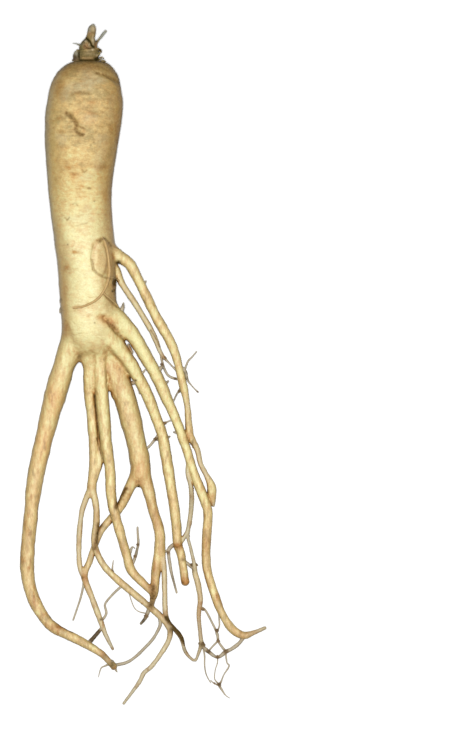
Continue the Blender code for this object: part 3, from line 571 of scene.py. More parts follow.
def add_strand(field, traits, route, tones, flare):
    """Blend a strand into the field. It flares where it leaves another and only touches what it crosses.

    Traits are two more fields, with how orange the nearest strand is and how thick.
    """
    points = resample(route, STRAND_STEP)
    run = lengths(points)
    seed = len(route) + route[0][0]
    points[:, 3] *= 1 + 0.05 * noise(points[:, :3], 9, seed) + 0.03 * noise(points[:, :3], 4, seed)
    radius = points[:, 3]
    free = np.flatnonzero(sample(field, points[:, :3]) > 1.1 * radius)
    leaves = run[free[0]] if len(free) else run[-1]
    joins = run[free[-1]] if len(free) else run[-1]
    near_start = np.exp(-(np.maximum(0, run - leaves) / (FLARE_REACH * radius)) ** 2)
    near_end = FAR_END_FLARE * np.exp(-(np.maximum(0, joins - run) / (FLARE_REACH * radius)) ** 2)
    blends = LEAST_BLEND + flare * radius * np.maximum(near_start, near_end * (joins < run[-1]))
    shade = tones[0] + (tones[1] - tones[0]) * (run / run[-1]) ** 1.6
    margin = radius.max() + blends.max() + 3 * CELL
    low, high = points[:, :3].min(0) - margin, points[:, :3].max(0) + margin
    first, last = cells_of(low, high, field.shape)
    size = tuple(last - first)
    reach = np.full(size, FAR, dtype=np.float32)
    values = (blends, shade, radius)
    found = [np.full(size, value[0], dtype=np.float32) for value in values]
    axes = axes_of(first, last)
    widest = blends.max()
    for i in range(len(points) - 1):
        a, b = points[i, :3], points[i + 1, :3]
        pad = max(radius[i], radius[i + 1]) + widest + 2 * CELL
        start = np.floor((np.minimum(a, b) - pad - FIELD_LOW) / CELL).astype(int) - first
        stop = np.ceil((np.maximum(a, b) + pad - FIELD_LOW) / CELL).astype(int) + 1 - first
        start = np.maximum(start, 0)
        stop = np.minimum(stop, size)
        if (stop <= start).any():
            continue
        near = part_of(start, stop)
        x, y, z = np.ix_(*(axis[part] for axis, part in zip(axes, near)))
        along = b - a
        t = (x - a[0]) * along[0] + (y - a[1]) * along[1] + (z - a[2]) * along[2]
        t = np.clip(t / (along @ along), 0, 1)
        gaps = [v - (p + t * s) for v, p, s in zip((x, y, z), a, along)]
        distance = np.sqrt(gaps[0] ** 2 + gaps[1] ** 2 + gaps[2] ** 2)
        distance -= radius[i] + t * (radius[i + 1] - radius[i])
        closer = distance < reach[near]
        reach[near] = np.where(closer, distance, reach[near])
        for value, kept in zip(values, found):
            kept[near] = np.where(closer, value[i] + t * (value[i + 1] - value[i]), kept[near])
    part = part_of(first, last)
    there = field[part]
    blend = found[0]
    share = np.clip(0.5 + 0.5 * (there - reach) / blend, 0, 1)
    field[part] = there + (reach - there) * share - blend * share * (1 - share)
    for trait, value in zip(traits, found[1:]):
        trait[part] += (value - trait[part]) * share


def soften(field, low, high, passes):
    """Melt the sharp edges in a box of the field, least at its ends."""
    first, last = cells_of(low, high, field.shape)
    part = part_of(first, last)
    plain = np.clip(field[part], -SOFT_REACH - 2, SOFT_REACH + 2)
    soft = plain.copy()
    for _ in range(passes):
        for axis in range(3):
            edge = [(1, 1) if i == axis else (0, 0) for i in range(3)]
            wide = np.pad(soft, edge, mode="edge")
            after = np.take(wide, np.arange(2, wide.shape[axis]), axis=axis)
            before = np.take(wide, np.arange(wide.shape[axis] - 2), axis=axis)
            soft = 0.5 * soft + 0.25 * (after + before)
    across, down, _ = axes_of(first, last)
    ends = smooth_step(low[1], low[1] + SOFT_TOP, down) * smooth_step(high[1], high[1] - SOFT_EDGE, down)
    sides = smooth_step(low[0], low[0] + SOFT_EDGE, across)
    sides *= smooth_step(high[0], high[0] - SOFT_EDGE, across)
    near = np.abs(plain) < SOFT_REACH
    field[part] += (soft - plain) * ends[None, :, None] * sides[:, None, None] * near


def surface_net(field):
    """Vertices and four-sided faces of the surface where a field passes zero."""
    inside = field < 0
    shape = tuple(n - 1 for n in field.shape)
    count = np.zeros(shape, dtype=np.int8)
    for i, j, k in CORNERS:
        count += inside[i:i + shape[0], j:j + shape[1], k:k + shape[2]]
    cells = np.argwhere((count > 0) & (count < 8))
    number = np.full(shape, -1, dtype=np.int32)
    number[tuple(cells.T)] = np.arange(len(cells))
    total = np.zeros((len(cells), 3))
    crossings = np.zeros(len(cells))
    for start in CORNERS:
        for axis in range(3):
            if start[axis]:
                continue
            end = list(start)
            end[axis] = 1
            a = field[tuple((cells + start).T)]
            b = field[tuple((cells + end).T)]
            crossed = (a < 0) != (b < 0)
            share = np.where(crossed, a / np.where(crossed, a - b, 1), 0)
            total += np.array(start) * crossed[:, None]
            total[:, axis] += share
            crossings += crossed
    verts = FIELD_LOW + CELL * (cells + total / crossings[:, None])
    quads = []
    for axis in range(3):
        one, two = (axis + 1) % 3, (axis + 2) % 3
        lower = [slice(None)] * 3
        upper = [slice(None)] * 3
        lower[axis], upper[axis] = slice(None, -1), slice(1, None)
        spots = np.argwhere(inside[tuple(lower)] != inside[tuple(upper)])
        ways = np.eye(3, dtype=int)
        around = [spots - ways[one] - ways[two], spots - ways[two], spots, spots - ways[one]]
        faces = np.stack([number[tuple(spot.T)] for spot in around], axis=1)
        outward = ~inside[tuple(spots.T)]
        faces[~outward] = faces[~outward][:, ::-1]
        quads.append(faces)
    return verts, np.vstack(quads)


def settle(verts, faces, field, rounds):
    """Even the vertices out over the surface and set them exactly on it."""
    for _ in range(rounds):
        middles = verts[faces].mean(axis=1)
        hits = np.bincount(faces.ravel(), minlength=len(verts))
        around = [np.bincount(faces.ravel(), np.repeat(middles[:, i], 4), len(verts)) for i in range(3)]
        spread = np.stack(around, axis=1) / hits[:, None]
        verts = verts + SETTLE_SHARE * (spread - verts)
        rise = slope(field, verts)
        steep = np.maximum((rise ** 2).sum(axis=1), LEAST_SLOPE)
        verts = verts - rise * (sample(field, verts) / steep)[:, None]
    return verts


def line_distance(points, line):
    """How far points lie from a line, whatever their height, and how far along it they are, from 0 to 1."""
    best = np.full(len(points), FAR)
    share = np.zeros(len(points))
    line = np.array(line, dtype=float)
    for index, (a, b) in enumerate(zip(line, line[1:])):
        along = b - a
        t = np.clip((points[:, :2] - a) @ along / (along @ along), 0, 1)
        gap = np.linalg.norm(points[:, :2] - a - t[:, None] * along, axis=1)
        share = np.where(gap < best, (index + t) / (len(line) - 1), share)
        best = np.minimum(best, gap)
    return best, share


def near_line(points, line, reach):
    """Which points lie in the box round a line."""
    line = np.array(line, dtype=float)
    low, high = line.min(0) - reach, line.max(0) + reach
    return np.flatnonzero(((points[:, :2] > low) & (points[:, :2] < high)).all(axis=1))


def oval(points, across, down, wide, tall):
    """How far out points lie in an upright oval, whatever their height: 1 on its rim."""
    return ((points[:, 0] - across) / wide) ** 2 + ((points[:, 1] - down) / tall) ** 2


def rows_of(table):
    """The rows of a table of patches, each with its kind in front."""
    return ((kind, *row) for kind, rows in table.items() for row in rows)


def deepen(found, kind, amount, spots=slice(None)):
    """Raise one kind of mark to an amount at some points, where it is less."""
    found[kind][spots] = np.maximum(found[kind][spots], amount)


def on_body(points, outer, inner, end):
    """How much points belong to the taproot, from 0 to 1: it fades out past its side and towards the fork."""
    middle, level, girth = body_at(points[:, 1])
    off_axis = np.hypot(points[:, 0] - middle, (points[:, 2] - level) / BODY_FLATNESS)
    return smooth_step(girth + outer, girth + inner, off_axis) * smooth_step(end, MARKS_END, points[:, 1])


def make_wrinkles():
    """Short wrinkles all round the taproot: down, angle, half length, half width, depth and slant."""
    draw = random.Random(11)
    found = []
    for _ in range(WRINKLES):
        down = SHOULDER_DOWN + 6 + (FORK_DOWN - SHOULDER_DOWN - 14) * draw.random() ** 1.25
        turn = draw.uniform(-math.pi, math.pi)
        size = draw.uniform(2.5, 9.5), draw.uniform(0.5, 1.0), draw.uniform(0.1, DEEPEST_WRINKLE)
        found.append((down, turn, *size, draw.gauss(0, 0.1)))
    return found


def wrinkle_marks(points):
    """How deep the wrinkles press into the skin at points, and how much they show there, from 0 to 1."""
    middle, level, girth = body_at(points[:, 1])
    angle = np.arctan2(points[:, 2] - level, points[:, 0] - middle)
    depths, shown = np.zeros(len(points)), np.zeros(len(points))
    for down, turn, half, width, depth, slant in make_wrinkles():
        spots = np.flatnonzero(np.abs(points[:, 1] - down) < 3 * width + 2.5)
        away = np.mod(angle[spots] - turn + math.pi, 2 * math.pi) - math.pi
        along = away * girth[spots]
        off = points[spots, 1] - down - slant * along + 0.012 * along ** 2
        off = off - 0.5 * noise(points[spots], 4, 13)
        amount = np.exp(-(off / width) ** 2) * smooth_step(half, 0.35 * half, np.abs(along))
        depths[spots] = np.maximum(depths[spots], depth * amount)
        shown[spots] = np.maximum(shown[spots], amount * depth / DEEPEST_WRINKLE)
    return depths, shown


def relief(points, normals):
    """How far the skin stands out from its plain form: lumps, rings on the taproot, wrinkles and creases."""
    level = body_at(points[:, 1])[1]
    body = on_body(points, 5, 1.5, 352)
    height = 0.35 * noise(points, 13, 1) + 0.16 * noise(points, 5, 2)
    waved = points + np.outer(noise(points, 22, 3), (0, 2.2, 0))
    upper_part = 0.2 + 0.8 * smooth_step(230, 110, points[:, 1])
    rings = noise(waved, (11, 3.4, 11), 4) + 0.6 * noise(waved, (5, 1.6, 5), 5)
    height += body * upper_part * 0.13 * rings
    height -= body * wrinkle_marks(points)[0]
    height += (1 - body) * (0.16 * noise(points, (2.8, 4.5, 2.8), 6) + 0.11 * noise(points, 1.8, 7))
    top = smooth_step(0.05, 0.4, normals[:, 2]) * (points[:, 2] > level)
    height += top * body * SCAR_HEIGHT * smooth_step(1.25, 0.55, oval(points, *SCAR))
    for width, depth, _, _, line in CREASES:
        spots = near_line(points, line, 3 * width)
        gap, share = line_distance(points[spots], line)
        taper = 0.35 + 0.65 * np.minimum(smooth_step(0, 0.3, share), smooth_step(1, 0.7, share))
        uneven = (1 + 0.35 * noise(points[spots], 3, 8)) * taper
        rim = (gap - 2.1 * width) / width
        height[spots] -= top[spots] * depth * uneven * np.exp(-(gap / width) ** 2)
        height[spots] += top[spots] * 0.2 * depth * taper * np.exp(-rim ** 2)
    return height


def marks(points, normals):
    """How brown, pink, pale and dark the skin is at points, from the patches and the creases, some of which
    are painted shade, painted shadows or painted highlights.
    """
    found = {kind: np.zeros(len(points)) for kind in ("brown", "pink", "pale", "dark")}
    facing = smooth_step(-0.5, 0.1, normals[:, 2])
    ragged = 0.35 * noise(points, 2.4, 11) + 0.3 * noise(points, 5, 12)
    for kind, across, down, wide, tall, strength in rows_of(PATCHES):
        spots = near_line(points, [(across, down)], 2.6 * max(wide, tall))
        gap = oval(points[spots], across, down, wide, tall)
        deepen(found, kind, strength * facing[spots] * np.exp(-gap * (1 + ragged[spots])), spots)
    for width, _, kind, strength, line in CREASES:
        spots = near_line(points, line, 3 * width)
        gap = line_distance(points[spots], line)[0] / width
        amount = strength * facing[spots] * np.exp(-gap ** 2)
        deepen(found, kind, amount, spots)
        deepen(found, "brown", 0.9 * amount, spots)
    return found


def add_object(name, data):
    """A new object in the scene."""
    piece = bpy.data.objects.new(name, data)
    bpy.context.scene.collection.objects.link(piece)
    return piece


def mesh_object(name, verts, faces):
    """An object from vertices in metres and faces, shaded smooth."""
    data = bpy.data.meshes.new(name)
    faces = [tuple(int(i) for i in face) for face in faces]
    data.from_pydata(verts, [], faces)
    data.update()
    data.shade_smooth()
    return add_object(name, data)


def read_mesh(piece):
    """A piece's vertices as grid points, and its normals in the frame."""
    count = len(piece.data.vertices)
    places = np.empty(count * 3)
    normals = np.empty(count * 3)
    piece.data.vertices.foreach_get("co", places)
    piece.data.vertices.foreach_get("normal", normals)
    return to_grid(places.reshape(-1, 3)), normals.reshape(-1, 3)


def paint(piece, traits):
    """Store one number a vertex for each trait, which the material reads by name."""
    for name, values in traits.items():
        layer = piece.data.attributes.new(name, "FLOAT", "POINT")
        layer.data.foreach_set("value", np.asarray(values, dtype=np.float32))


def decimate(piece, share, chosen):
    """Keep a share of a mesh's faces, thinned where it is flattest, and only among the chosen vertices."""
    group = piece.vertex_groups.new(name="chosen")
    group.add(chosen.tolist(), 1.0, "REPLACE")
    thinner = piece.modifiers.new("thin", "DECIMATE")
    thinner.ratio = share
    thinner.vertex_group = group.name
    graph = bpy.context.evaluated_depsgraph_get()
    done = bpy.data.meshes.new_from_object(piece.evaluated_get(graph))
    piece.modifiers.clear()
    piece.vertex_groups.clear()
    piece.data = done
    done.shade_smooth()


def fine_marks(points, normals):
    """Which points of the upper side lie in a wrinkle, a crease or a small patch of colour."""
    found = wrinkle_marks(points)[1] * smooth_step(352, MARKS_END, points[:, 1]) > 0.2
    for _, across, down, wide, tall, _ in rows_of(PATCHES):
        if min(wide, tall) < SMALL_PATCH:
            spots = near_line(points, [(across, down)], 2 * max(wide, tall))
            found[spots] |= oval(points[spots], across, down, wide, tall) < 3
    for width, _, _, _, line in CREASES:
        spots = near_line(points, line, 3 * width)
        found[spots] |= line_distance(points[spots], line)[0] < 1.9 * width
    return found & (normals[:, 2] > 0.1)


def thin_out(piece, triangles):
    """Thin the underside first, and then the whole mesh except its fine marks to a number of triangles."""
    normals = read_mesh(piece)[1]
    under = np.flatnonzero(normals[:, 2] < UNDERSIDE_SLOPE)
    decimate(piece, 1 - (1 - UNDERSIDE_KEPT) * len(under) / len(normals), under)
    plain = np.flatnonzero(~fine_marks(*read_mesh(piece)))
    faces = sum(len(face.vertices) - 2 for face in piece.data.polygons)
    decimate(piece, min(1, triangles / faces), plain)


def make_skin():
    """The taproot with its branch roots as one skin."""
    shape = tuple(np.ceil((FIELD_HIGH - FIELD_LOW) / CELL).astype(int) + 1)
    field = np.full(shape, FAR, dtype=np.float32)
    traits = np.zeros(shape, dtype=np.float32), np.full(shape, THICK, dtype=np.float32)
    add_body(field)
    for route, first_tone, last_tone, flare in SKIN_STRANDS:
        add_strand(field, traits, route, (first_tone, last_tone), flare)
    soften(field, *FORK_BOX, SOFTENINGS)
    verts, faces = surface_net(field)
    verts = settle(verts, faces, field, SETTLINGS)
    outward = slope(field, verts)
    outward /= np.linalg.norm(outward, axis=1)[:, None] + 1e-6
    verts = verts + outward * relief(verts, outward)[:, None]
    verts[:, 2] = np.maximum(verts[:, 2], 0)
    skin = mesh_object("root_skin", to_metres(verts), faces)
    thin_out(skin, SKIN_TRIANGLES)
    points, normals = read_mesh(skin)
    tone, thickness = (sample(trait, points) for trait in traits)
    paint_skin(skin, points, normals, tone, thickness, shade_in_crevices(field, points, normals))
    return skin


def shade_in_crevices(field, points, normals):
    """How deep points lie between strands, 0 in the open and 1 in a narrow groove; it sets the painted shade
    there.
    """
    outward = normals * (1, -1, 1)
    here = sample(field, points)
    total = np.zeros(len(points))
    for reach, weight in ((1.6, 0.4), (4.0, 0.6)):
        rise = sample(field, points + outward * reach) - here
        total += weight * np.clip(1 - rise / reach, 0, 1)
    return total


def paint_skin(piece, points, normals, tone, thickness, groove):
    """The numbers that the skin's material reads."""
    down = points[:, 1]
    body = on_body(points, 7, 1, 372)
    branch = 0.68 - 0.3 * smooth_step(430, 600, down) + 0.6 * np.maximum(0, -tone)
    pale = body * (0.12 + 0.86 * smooth_step(82, 270, down)) + (1 - body) * branch
    pale += 0.13 * body * noise(points, (10, 7, 10), 31)
    dull = smooth_step(0.0, 0.7, noise(points, (13, 10, 13), 32)) * smooth_step(260, 190, down)
    found = marks(points, normals)
    upward = normals[:, 2]
    # Painted shade on the sides: the skin turns warmer and darker as it turns away from facing up, more so on
    # the taproot's lower part
    side_shade_strength = 0.75 + 0.6 * body * smooth_step(215, 285, down)
    middle, _, girth = body_at(down)
    left_rim = body * smooth_step(0.72, 0.98, (middle - points[:, 0]) / girth) * smooth_step(240, 180, down)
    thin = smooth_step(2.6, 1.6, thickness) * (1 - body)
    side_shade_tint = smooth_step(0.97, 0.5, upward) * side_shade_strength * (0.5 + 0.5 * smooth_step(-0.7, -0.1, upward))
    side_shade_tint *= 1 - 0.5 * smooth_step(4.0, 2.6, thickness) * (1 - body)
    grey = smooth_step(4.2, 2.0, thickness) * (1 - body) + 0.4 * body * dull
    blotches = smooth_step(0.2, 0.7, noise(points, (3, 9, 3), 21)) * (1 - body)
    deepen(found, "brown", 0.33 * (body * wrinkle_marks(points)[1]))
    # Painted shade: brown laid into the crevices where strands meet and cross
    deepen(found, "brown", 0.9 * smooth_step(0.12, 0.75, groove))
    deepen(found, "brown", blotches * (0.15 + 0.4 * smooth_step(400, 600, down)))
    # Painted shade: dark laid into the deepest crevices
    deepen(found, "dark", 0.7 * smooth_step(0.55, 1.0, groove))
    # Painted shade: darker towards the crown, where the taproot's end curves in to meet it
    deepen(found, "dark", 0.36 * smooth_step(86, 62, down))
    sheen = 0.1 + 0.9 * (body * (0.1 + 0.9 * smooth_step(180, 260, down)) + (1 - body) * 0.6)
    sheen = sheen * (1 - 0.6 * np.minimum(found["brown"], 1)) * (1 - np.clip(1.2 * found["dark"], 0, 1))
    right_side = smooth_step(0.25, 1.0, (points[:, 0] - middle) / girth) * body
    deepen(found, "brown", 0.34 * right_side)
    paint(piece, {
        "body": body,
        "tone": np.maximum(0, tone) * (1 - body),
        # Pale takes in the pale patches, many of them painted highlights
        "pale": np.clip(pale + 0.45 * found["pale"], 0, 1.3),
        # These two traits are painted shade, strongest where the skin faces sideways
        "side_shade_tint": side_shade_tint * (1 - 0.7 * thin) * (1 - 0.6 * left_rim),
        "side": smooth_step(0.6, 0.0, upward) * (0.3 + 0.7 * smooth_step(-0.7, -0.1, upward)),
        "grey": np.maximum(grey, 0.7 * left_rim),
        "thin": thin,
        "sheen": sheen,
        "brown": found["brown"],
        "pink": found["pink"],
        "dark": found["dark"],
    })


def tube(route, sides, step, seed, uneven=0.1, flat=1.0, wander=0.3, swell=None):
    """Vertices in metres and faces of one closed, slightly uneven tube with rounded ends."""
    points = resample(route, step)
    run = lengths(points)
    loose = np.minimum(1, np.minimum(run, run[-1] - run) / (0.12 * run[-1] + 1))
    shift = [noise(points[:, :3], (7, 7, 7), seed + i) for i in (20, 30)]
    points[:, 0] += wander * loose * shift[0]
    points[:, 1] += wander * loose * shift[1]
    swelling = noise(points[:, :3], 5, seed + 3) + 0.6 * noise(points[:, :3], 2, seed + 4)
    points[:, 3] *= 1 + uneven * swelling
    places = to_metres(points[:, :3])
    radii = points[:, 3] * GRID
    start, end = places[0] - places[1], places[-1] - places[-2]
    start, end = start / np.linalg.norm(start), end / np.linalg.norm(end)
    head = [places[0] + start * radii[0] * far for far, _ in reversed(CAPS)]
    tail = [places[-1] + end * radii[-1] * far for far, _ in CAPS]
    places = np.vstack(head + [places] + tail)
    narrow = [radii[0] * share for _, share in reversed(CAPS)]
    radii = np.concatenate((narrow, radii, [radii[-1] * share for _, share in CAPS]))
    angles = 2 * math.pi * np.arange(sides) / sides
    upward = np.array((0.0, 0.0, 1.0))
    rings = []
    for i, place in enumerate(places):
        ahead = places[min(i + 1, len(places) - 1)] - places[max(i - 1, 0)]
        ahead /= np.linalg.norm(ahead)
        upward = upward - ahead * (upward @ ahead)
        upward /= np.linalg.norm(upward)
        sideways = np.cross(ahead, upward)
        ring = np.outer(np.cos(angles), sideways) + np.outer(np.sin(angles) * flat, upward)
        reach = radii[i] * np.ones(sides)
        if swell is not None:
            reach = reach + swell(angles, to_grid(place[None])[0]) * GRID
        rings.append(place + ring * reach[:, None])
    tips = [places[:1] + start * radii[0] * CAP_TIP, places[-1:] + end * radii[-1] * CAP_TIP]
    verts = np.vstack(rings + tips)
    faces = []
    for ring in range(len(rings) - 1):
        for side in range(sides):
            after = (side + 1) % sides
            lower, upper = ring * sides, (ring + 1) * sides
            faces.append((lower + side, upper + side, upper + after, lower + after))
    last = (len(rings) - 1) * sides
    for side in range(sides):
        after = (side + 1) % sides
        faces.append((side, after, len(verts) - 2))
        faces.append((last + after, last + side, len(verts) - 1))
    return verts, faces


def knot(across, down, height, radius, seed):
    """A small lumpy swelling on a rootlet."""
    reach = 0.7 * radius
    route = [(across - reach, down - 0.3 * reach, height, 0.5 * radius), (across, down, height, 0.8 * radius),
             (across + reach, down + 0.4 * reach, height, 0.45 * radius)]
    return tube(route, 10, 0.6, seed, uneven=0.3, wander=0)


def gather(name, parts):
    """One object from several lots of vertices and faces."""
    verts, faces = [], []
    count = 0
    for part_verts, part_faces in parts:
        verts.append(part_verts)
        faces += [tuple(i + count for i in face) for face in part_faces]
        count += len(part_verts)
    return mesh_object(name, np.vstack(verts), faces)


def lay_on(skin, routes):
    """Set routes of across, down and radius on top of the skin, partly sunk in."""
    data = skin.data
    tree = BVHTree.FromPolygons([v.co for v in data.vertices], [f.vertices for f in data.polygons])
    laid = []
    for route in routes:
        fine = resample([(across, down, 0, radius) for across, down, radius in route], 2)
        places = to_metres(fine[:, :3] + (0, 0, ABOVE_ALL))
        tops = [tree.ray_cast(Vector(place), Vector((0, 0, -1)))[0].z / GRID for place in places]
        tops = np.convolve(np.pad(tops, 2, mode="edge"), np.full(5, 0.2), mode="valid")
        fine[:, 2] = tops + STANDING_OUT * fine[:, 3]
        laid.append(fine)
    return laid


def make_rootlets(skin):
    """The fine rootlets, spurs, hairs and knots."""
    lying = enumerate(lay_on(skin, (FRONT_ROOTLET, SCAR_LINK, UPPER_RIM)))
    parts = [tube(route, 12, 1.0, 90 + seed, uneven=0.06, wander=0.1) for seed, route in lying]
    pale_count = sum(len(verts) for verts, _ in parts)
    for seed, route in enumerate(FINE_STRANDS + EXTRA_THREADS):
        parts.append(tube(route, 10, 1.0, seed))
    for seed, spot in enumerate(KNOTS):
        parts.append(knot(*spot, seed))
    for verts, _ in parts:
        verts[:, 2] = np.maximum(verts[:, 2], 0)
    rootlets = gather("rootlets", parts)
    points, normals = read_mesh(rootlets)
    # The patches give the rootlets their stains and, where one passes under another, painted shadow
    found = marks(points, normals)
    for index, (across, down, _, radius) in enumerate(KNOTS):
        gap = np.hypot(points[:, 0] - across, points[:, 1] - down) / (1.2 * radius)
        deepen(found, "dark", (0.7 + 0.12 * (index % 3)) * np.exp(-gap ** 4))
        deepen(found, "brown", np.exp(-gap ** 4))
    paint(rootlets, {
        "fresh": np.arange(len(points)) < pale_count,
        "dark": found["dark"],
        "brown": found["brown"],
        # Painted shade: darker where the rootlets turn away from facing up
        "side": smooth_step(0.95, 0.15, normals[:, 2]),
    })
    return rootlets


def knob_swell(angles, place):
    """The ridges round the crown's knob."""
    down = place[1]
    points = np.stack((3 * np.cos(angles), 3 * np.sin(angles), np.full(len(angles), down)), axis=1)
    ridge = 0.34 * np.sin((down - 49) * 2.05 + 0.5 * np.sin(angles + 1)) * smooth_step(44, 49, down)
    return ridge + 0.42 * noise(points, (2.6, 2.6, 2.2), 3) + 0.14 * noise(points, 1.1, 4)


def stub_swell(angles, place):
    """The fibres along the stem's stub."""
    points = np.stack((4 * np.cos(angles), 4 * np.sin(angles), np.full(len(angles), place[1] / 7)), axis=1)
    return 0.4 * noise(points, (1, 1, 1.4), 5) + 0.25 * noise(points, (0.5, 0.5, 1), 6)


# The crown's parts: across, down, height, radius
CROWN_KNOB = [
    (88.4, 62.6, 34, 8.8), (88.4, 61, 34, 9.5), (88.4, 59.6, 34, 9.8), (88.5, 58.4, 34, 10.2),
    (88.5, 54.2, 34, 10.4), (88.4, 50, 34.1, 10), (88.1, 46.6, 34.2, 8.9), (88, 43.6, 34.4, 7),
    (88.3, 41, 34.6, 5), (88.6, 39, 34.8, 3.4),
]
STEM_STUB = [
    (91.2, 50, 36.2, 4.2), (91, 44, 36.6, 4.1), (90.7, 38.6, 36.8, 4.1), (91.6, 33, 37.1, 4),
    (92.2, 29, 37.4, 3.6), (92.7, 27, 37.5, 2.8), (93.1, 26, 37.6, 1.8),
]
BUD = [(84.2, 49.6, 38.4, 3.2), (85, 46, 39.6, 4), (86, 43, 40, 3.4), (86.4, 41.2, 39.4, 2.2)]
TWIG = [
    (95.6, 48.6, 38.6, 1.3), (96.2, 44, 39.4, 1.4), (98.2, 41, 39.8, 1.2), (101, 37.6, 39.8, 1.1),
    (104, 33.4, 39.8, 1.15), (105.8, 31.6, 39.8, 1.3),
]
FIBRES = [
    [(90, 32, 38.4, 0.9), (89.6, 29, 38.6, 0.7), (90.2, 26.8, 38.4, 0.35)],
    [(92, 31, 40, 0.9), (92.2, 27.4, 40, 0.7), (92.8, 25.4, 39.8, 0.35)],
    [(93.6, 31, 39.6, 0.9), (94.2, 27.4, 39.4, 0.7), (94, 25.2, 39, 0.3)],
    [(94.8, 33, 38, 0.9), (95.3, 29, 38, 0.7), (95.2, 26.8, 37.8, 0.3)],
    [(90.8, 30, 36, 0.8), (91, 27.4, 36, 0.5), (91.6, 26, 36, 0.3)],
]
HAIR = [(82, 46.6, 37.6, 0.8), (79, 44.8, 37.6, 0.9), (76, 43.8, 37.2, 0.45), (72.9, 43.4, 36.8, 0.35)]
LEFT_SCALES = [
    [(81, 60.6, 35.4, 2.6), (77.6, 58.2, 36.2, 4), (76.7, 54.8, 36.8, 3.4), (77.8, 51, 37, 1.7)],
    [(80, 61.4, 37.4, 1.6), (76, 60.6, 37.2, 1.8), (73, 60.4, 36.6, 0.9)],
    [(77.6, 61, 38, 1.3), (75, 58, 38.6, 1.5), (74.4, 54.6, 38.2, 0.7)],
]
RIGHT_SCALES = [
    [(93.6, 58.8, 41.6, 0.9), (97, 56.4, 42, 1.2), (99.6, 53.6, 41.4, 1.1), (100.2, 51.6, 40.8, 0.6)],
    [(97, 49, 40.6, 1.1), (99.2, 50, 41, 1.4), (101, 51.2, 40.4, 1.1), (101.6, 52.2, 40, 0.6)],
    [(98, 60.4, 39, 1), (100.4, 59.6, 39, 0.9), (102.4, 60.6, 38.4, 0.6)],
    [(101.6, 61.8, 38, 0.8), (103.8, 60.8, 37.6, 0.9), (105.2, 61.8, 36.8, 0.8)],
    [(99.6, 58.2, 38, 0.5), (101.6, 57.4, 38, 0.7), (103.8, 58.6, 37.4, 0.6)],
    [(94.6, 47, 41, 1.2), (95.8, 44, 41.4, 1.2), (96.5, 41.6, 41, 0.9)],
]

# Soft patches of the crown by kind, as on the skin, and its cracks: half width, darkness, and the points
CROWN_PATCHES = {
    "dark": [
        # The first four dark patches are painted shadow: round the foot of the knob and under the pale strip
        # on its right
        (81.6, 60.6, 5, 1.2, 1.1), (88.5, 61, 12, 1.5, 1.1), (96.8, 59.4, 3.4, 2.4, 1.4),
        (98.8, 57, 1.5, 2.6, 1.2), (78.9, 55.6, 1.2, 6, 1.1), (86.6, 38.8, 1.7, 1.2, 1.3),
        (93.4, 47.2, 2, 1.3, 1.3), (96.3, 41.6, 1.4, 1.3, 1), (95.4, 45, 0.8, 2.4, 0.6),
        (99.8, 50.3, 2.4, 1.3, 1.1), (90, 52.8, 8, 0.5, 0.35), (86, 56, 8, 0.6, 0.4),
        (73.6, 59.6, 4, 2.6, 0.6), (75, 57.6, 3.2, 3.2, 0.75), (84.6, 43.4, 1, 0.6, 0.7),
        (101.6, 58.8, 0.9, 0.8, 0.7), (104, 58.6, 0.8, 0.8, 0.7), (104.6, 62, 1.6, 0.9, 0.6),
        (79.6, 45, 1.2, 1, 0.5), (81.6, 44.6, 1.2, 1.6, 0.35), (81.6, 50, 1, 1, 0.3),
        (81, 51, 1.6, 8, 0.25), (92, 33, 0.9, 0.7, 0.5), (89.6, 36, 0.8, 0.7, 0.4),
    ],
    "pale": [
        (93.4, 28, 2.6, 4, 0.8), (93.4, 40.6, 1.5, 4, 0.9), (97.6, 55.6, 2.6, 1.4, 0.7),
        (101.4, 60, 1.4, 0.9, 1), (92.6, 49.9, 1.2, 1, 1.2), (89.6, 45.2, 1.2, 1.5, 0.8),
        (86, 41.4, 1.8, 1.1, 0.8), (104.6, 60, 1.2, 0.8, 0.8), (92, 51.2, 4, 0.4, 0.4),
        (93, 54, 4, 0.4, 0.4), (89, 51.4, 3.6, 1.8, 0.3), (88, 58.2, 5, 0.7, 0.15), (89, 53.8, 5, 2.4, 0.3),
    ],
    "pink": [
        (86.4, 46, 3, 2.6, 1), (88, 58.2, 7, 1, 0.5), (90.4, 33.4, 1.5, 1.6, 1), (95.6, 31, 1.2, 4, 0.7),
        (96, 45.4, 0.9, 3, 0.8), (89, 60.8, 3, 0.8, 1), (92.6, 36.6, 1.4, 1.6, 0.5),
    ],
    "grey": [
        (103, 35.4, 5, 7, 1.4), (102.4, 59, 3.4, 1.4, 0.7), (74.6, 43.6, 7, 2, 1.3), (76, 54, 2.6, 4, 0.8),
        (89.4, 29, 1.6, 4, 0.7), (93.4, 25.4, 3, 1.4, 0.8), (84.6, 40.4, 1.2, 1, 0.7),
    ],
    "green": [
        (81.4, 47, 2.4, 5, 0.8), (80.6, 53, 2.4, 4, 0.6), (88.8, 39.6, 1.6, 1.2, 0.7),
        (98.6, 53.4, 1.8, 2, 0.9), (86, 56, 6, 1, 0.3),
    ],
    "plum": [
        (74.4, 58.8, 4, 3.2, 0.9), (96.8, 44.4, 1, 3.2, 0.5), (100.4, 51, 2, 1.2, 0.7),
        (84.6, 46.6, 1, 1.6, 0.4), (88, 48.4, 2.6, 0.7, 0.5),
    ],
    "rust": [
        (89, 60.7, 7, 1.1, 1), (97.4, 58.6, 2.4, 2, 0.7), (87.4, 48.6, 3.2, 0.8, 0.8),
        (84.2, 46.8, 0.9, 1.8, 0.7), (95.2, 45.2, 0.8, 2.4, 0.7), (90.2, 34, 1, 0.8, 0.6),
        (93.6, 33.2, 0.8, 1, 0.5),
    ],
}
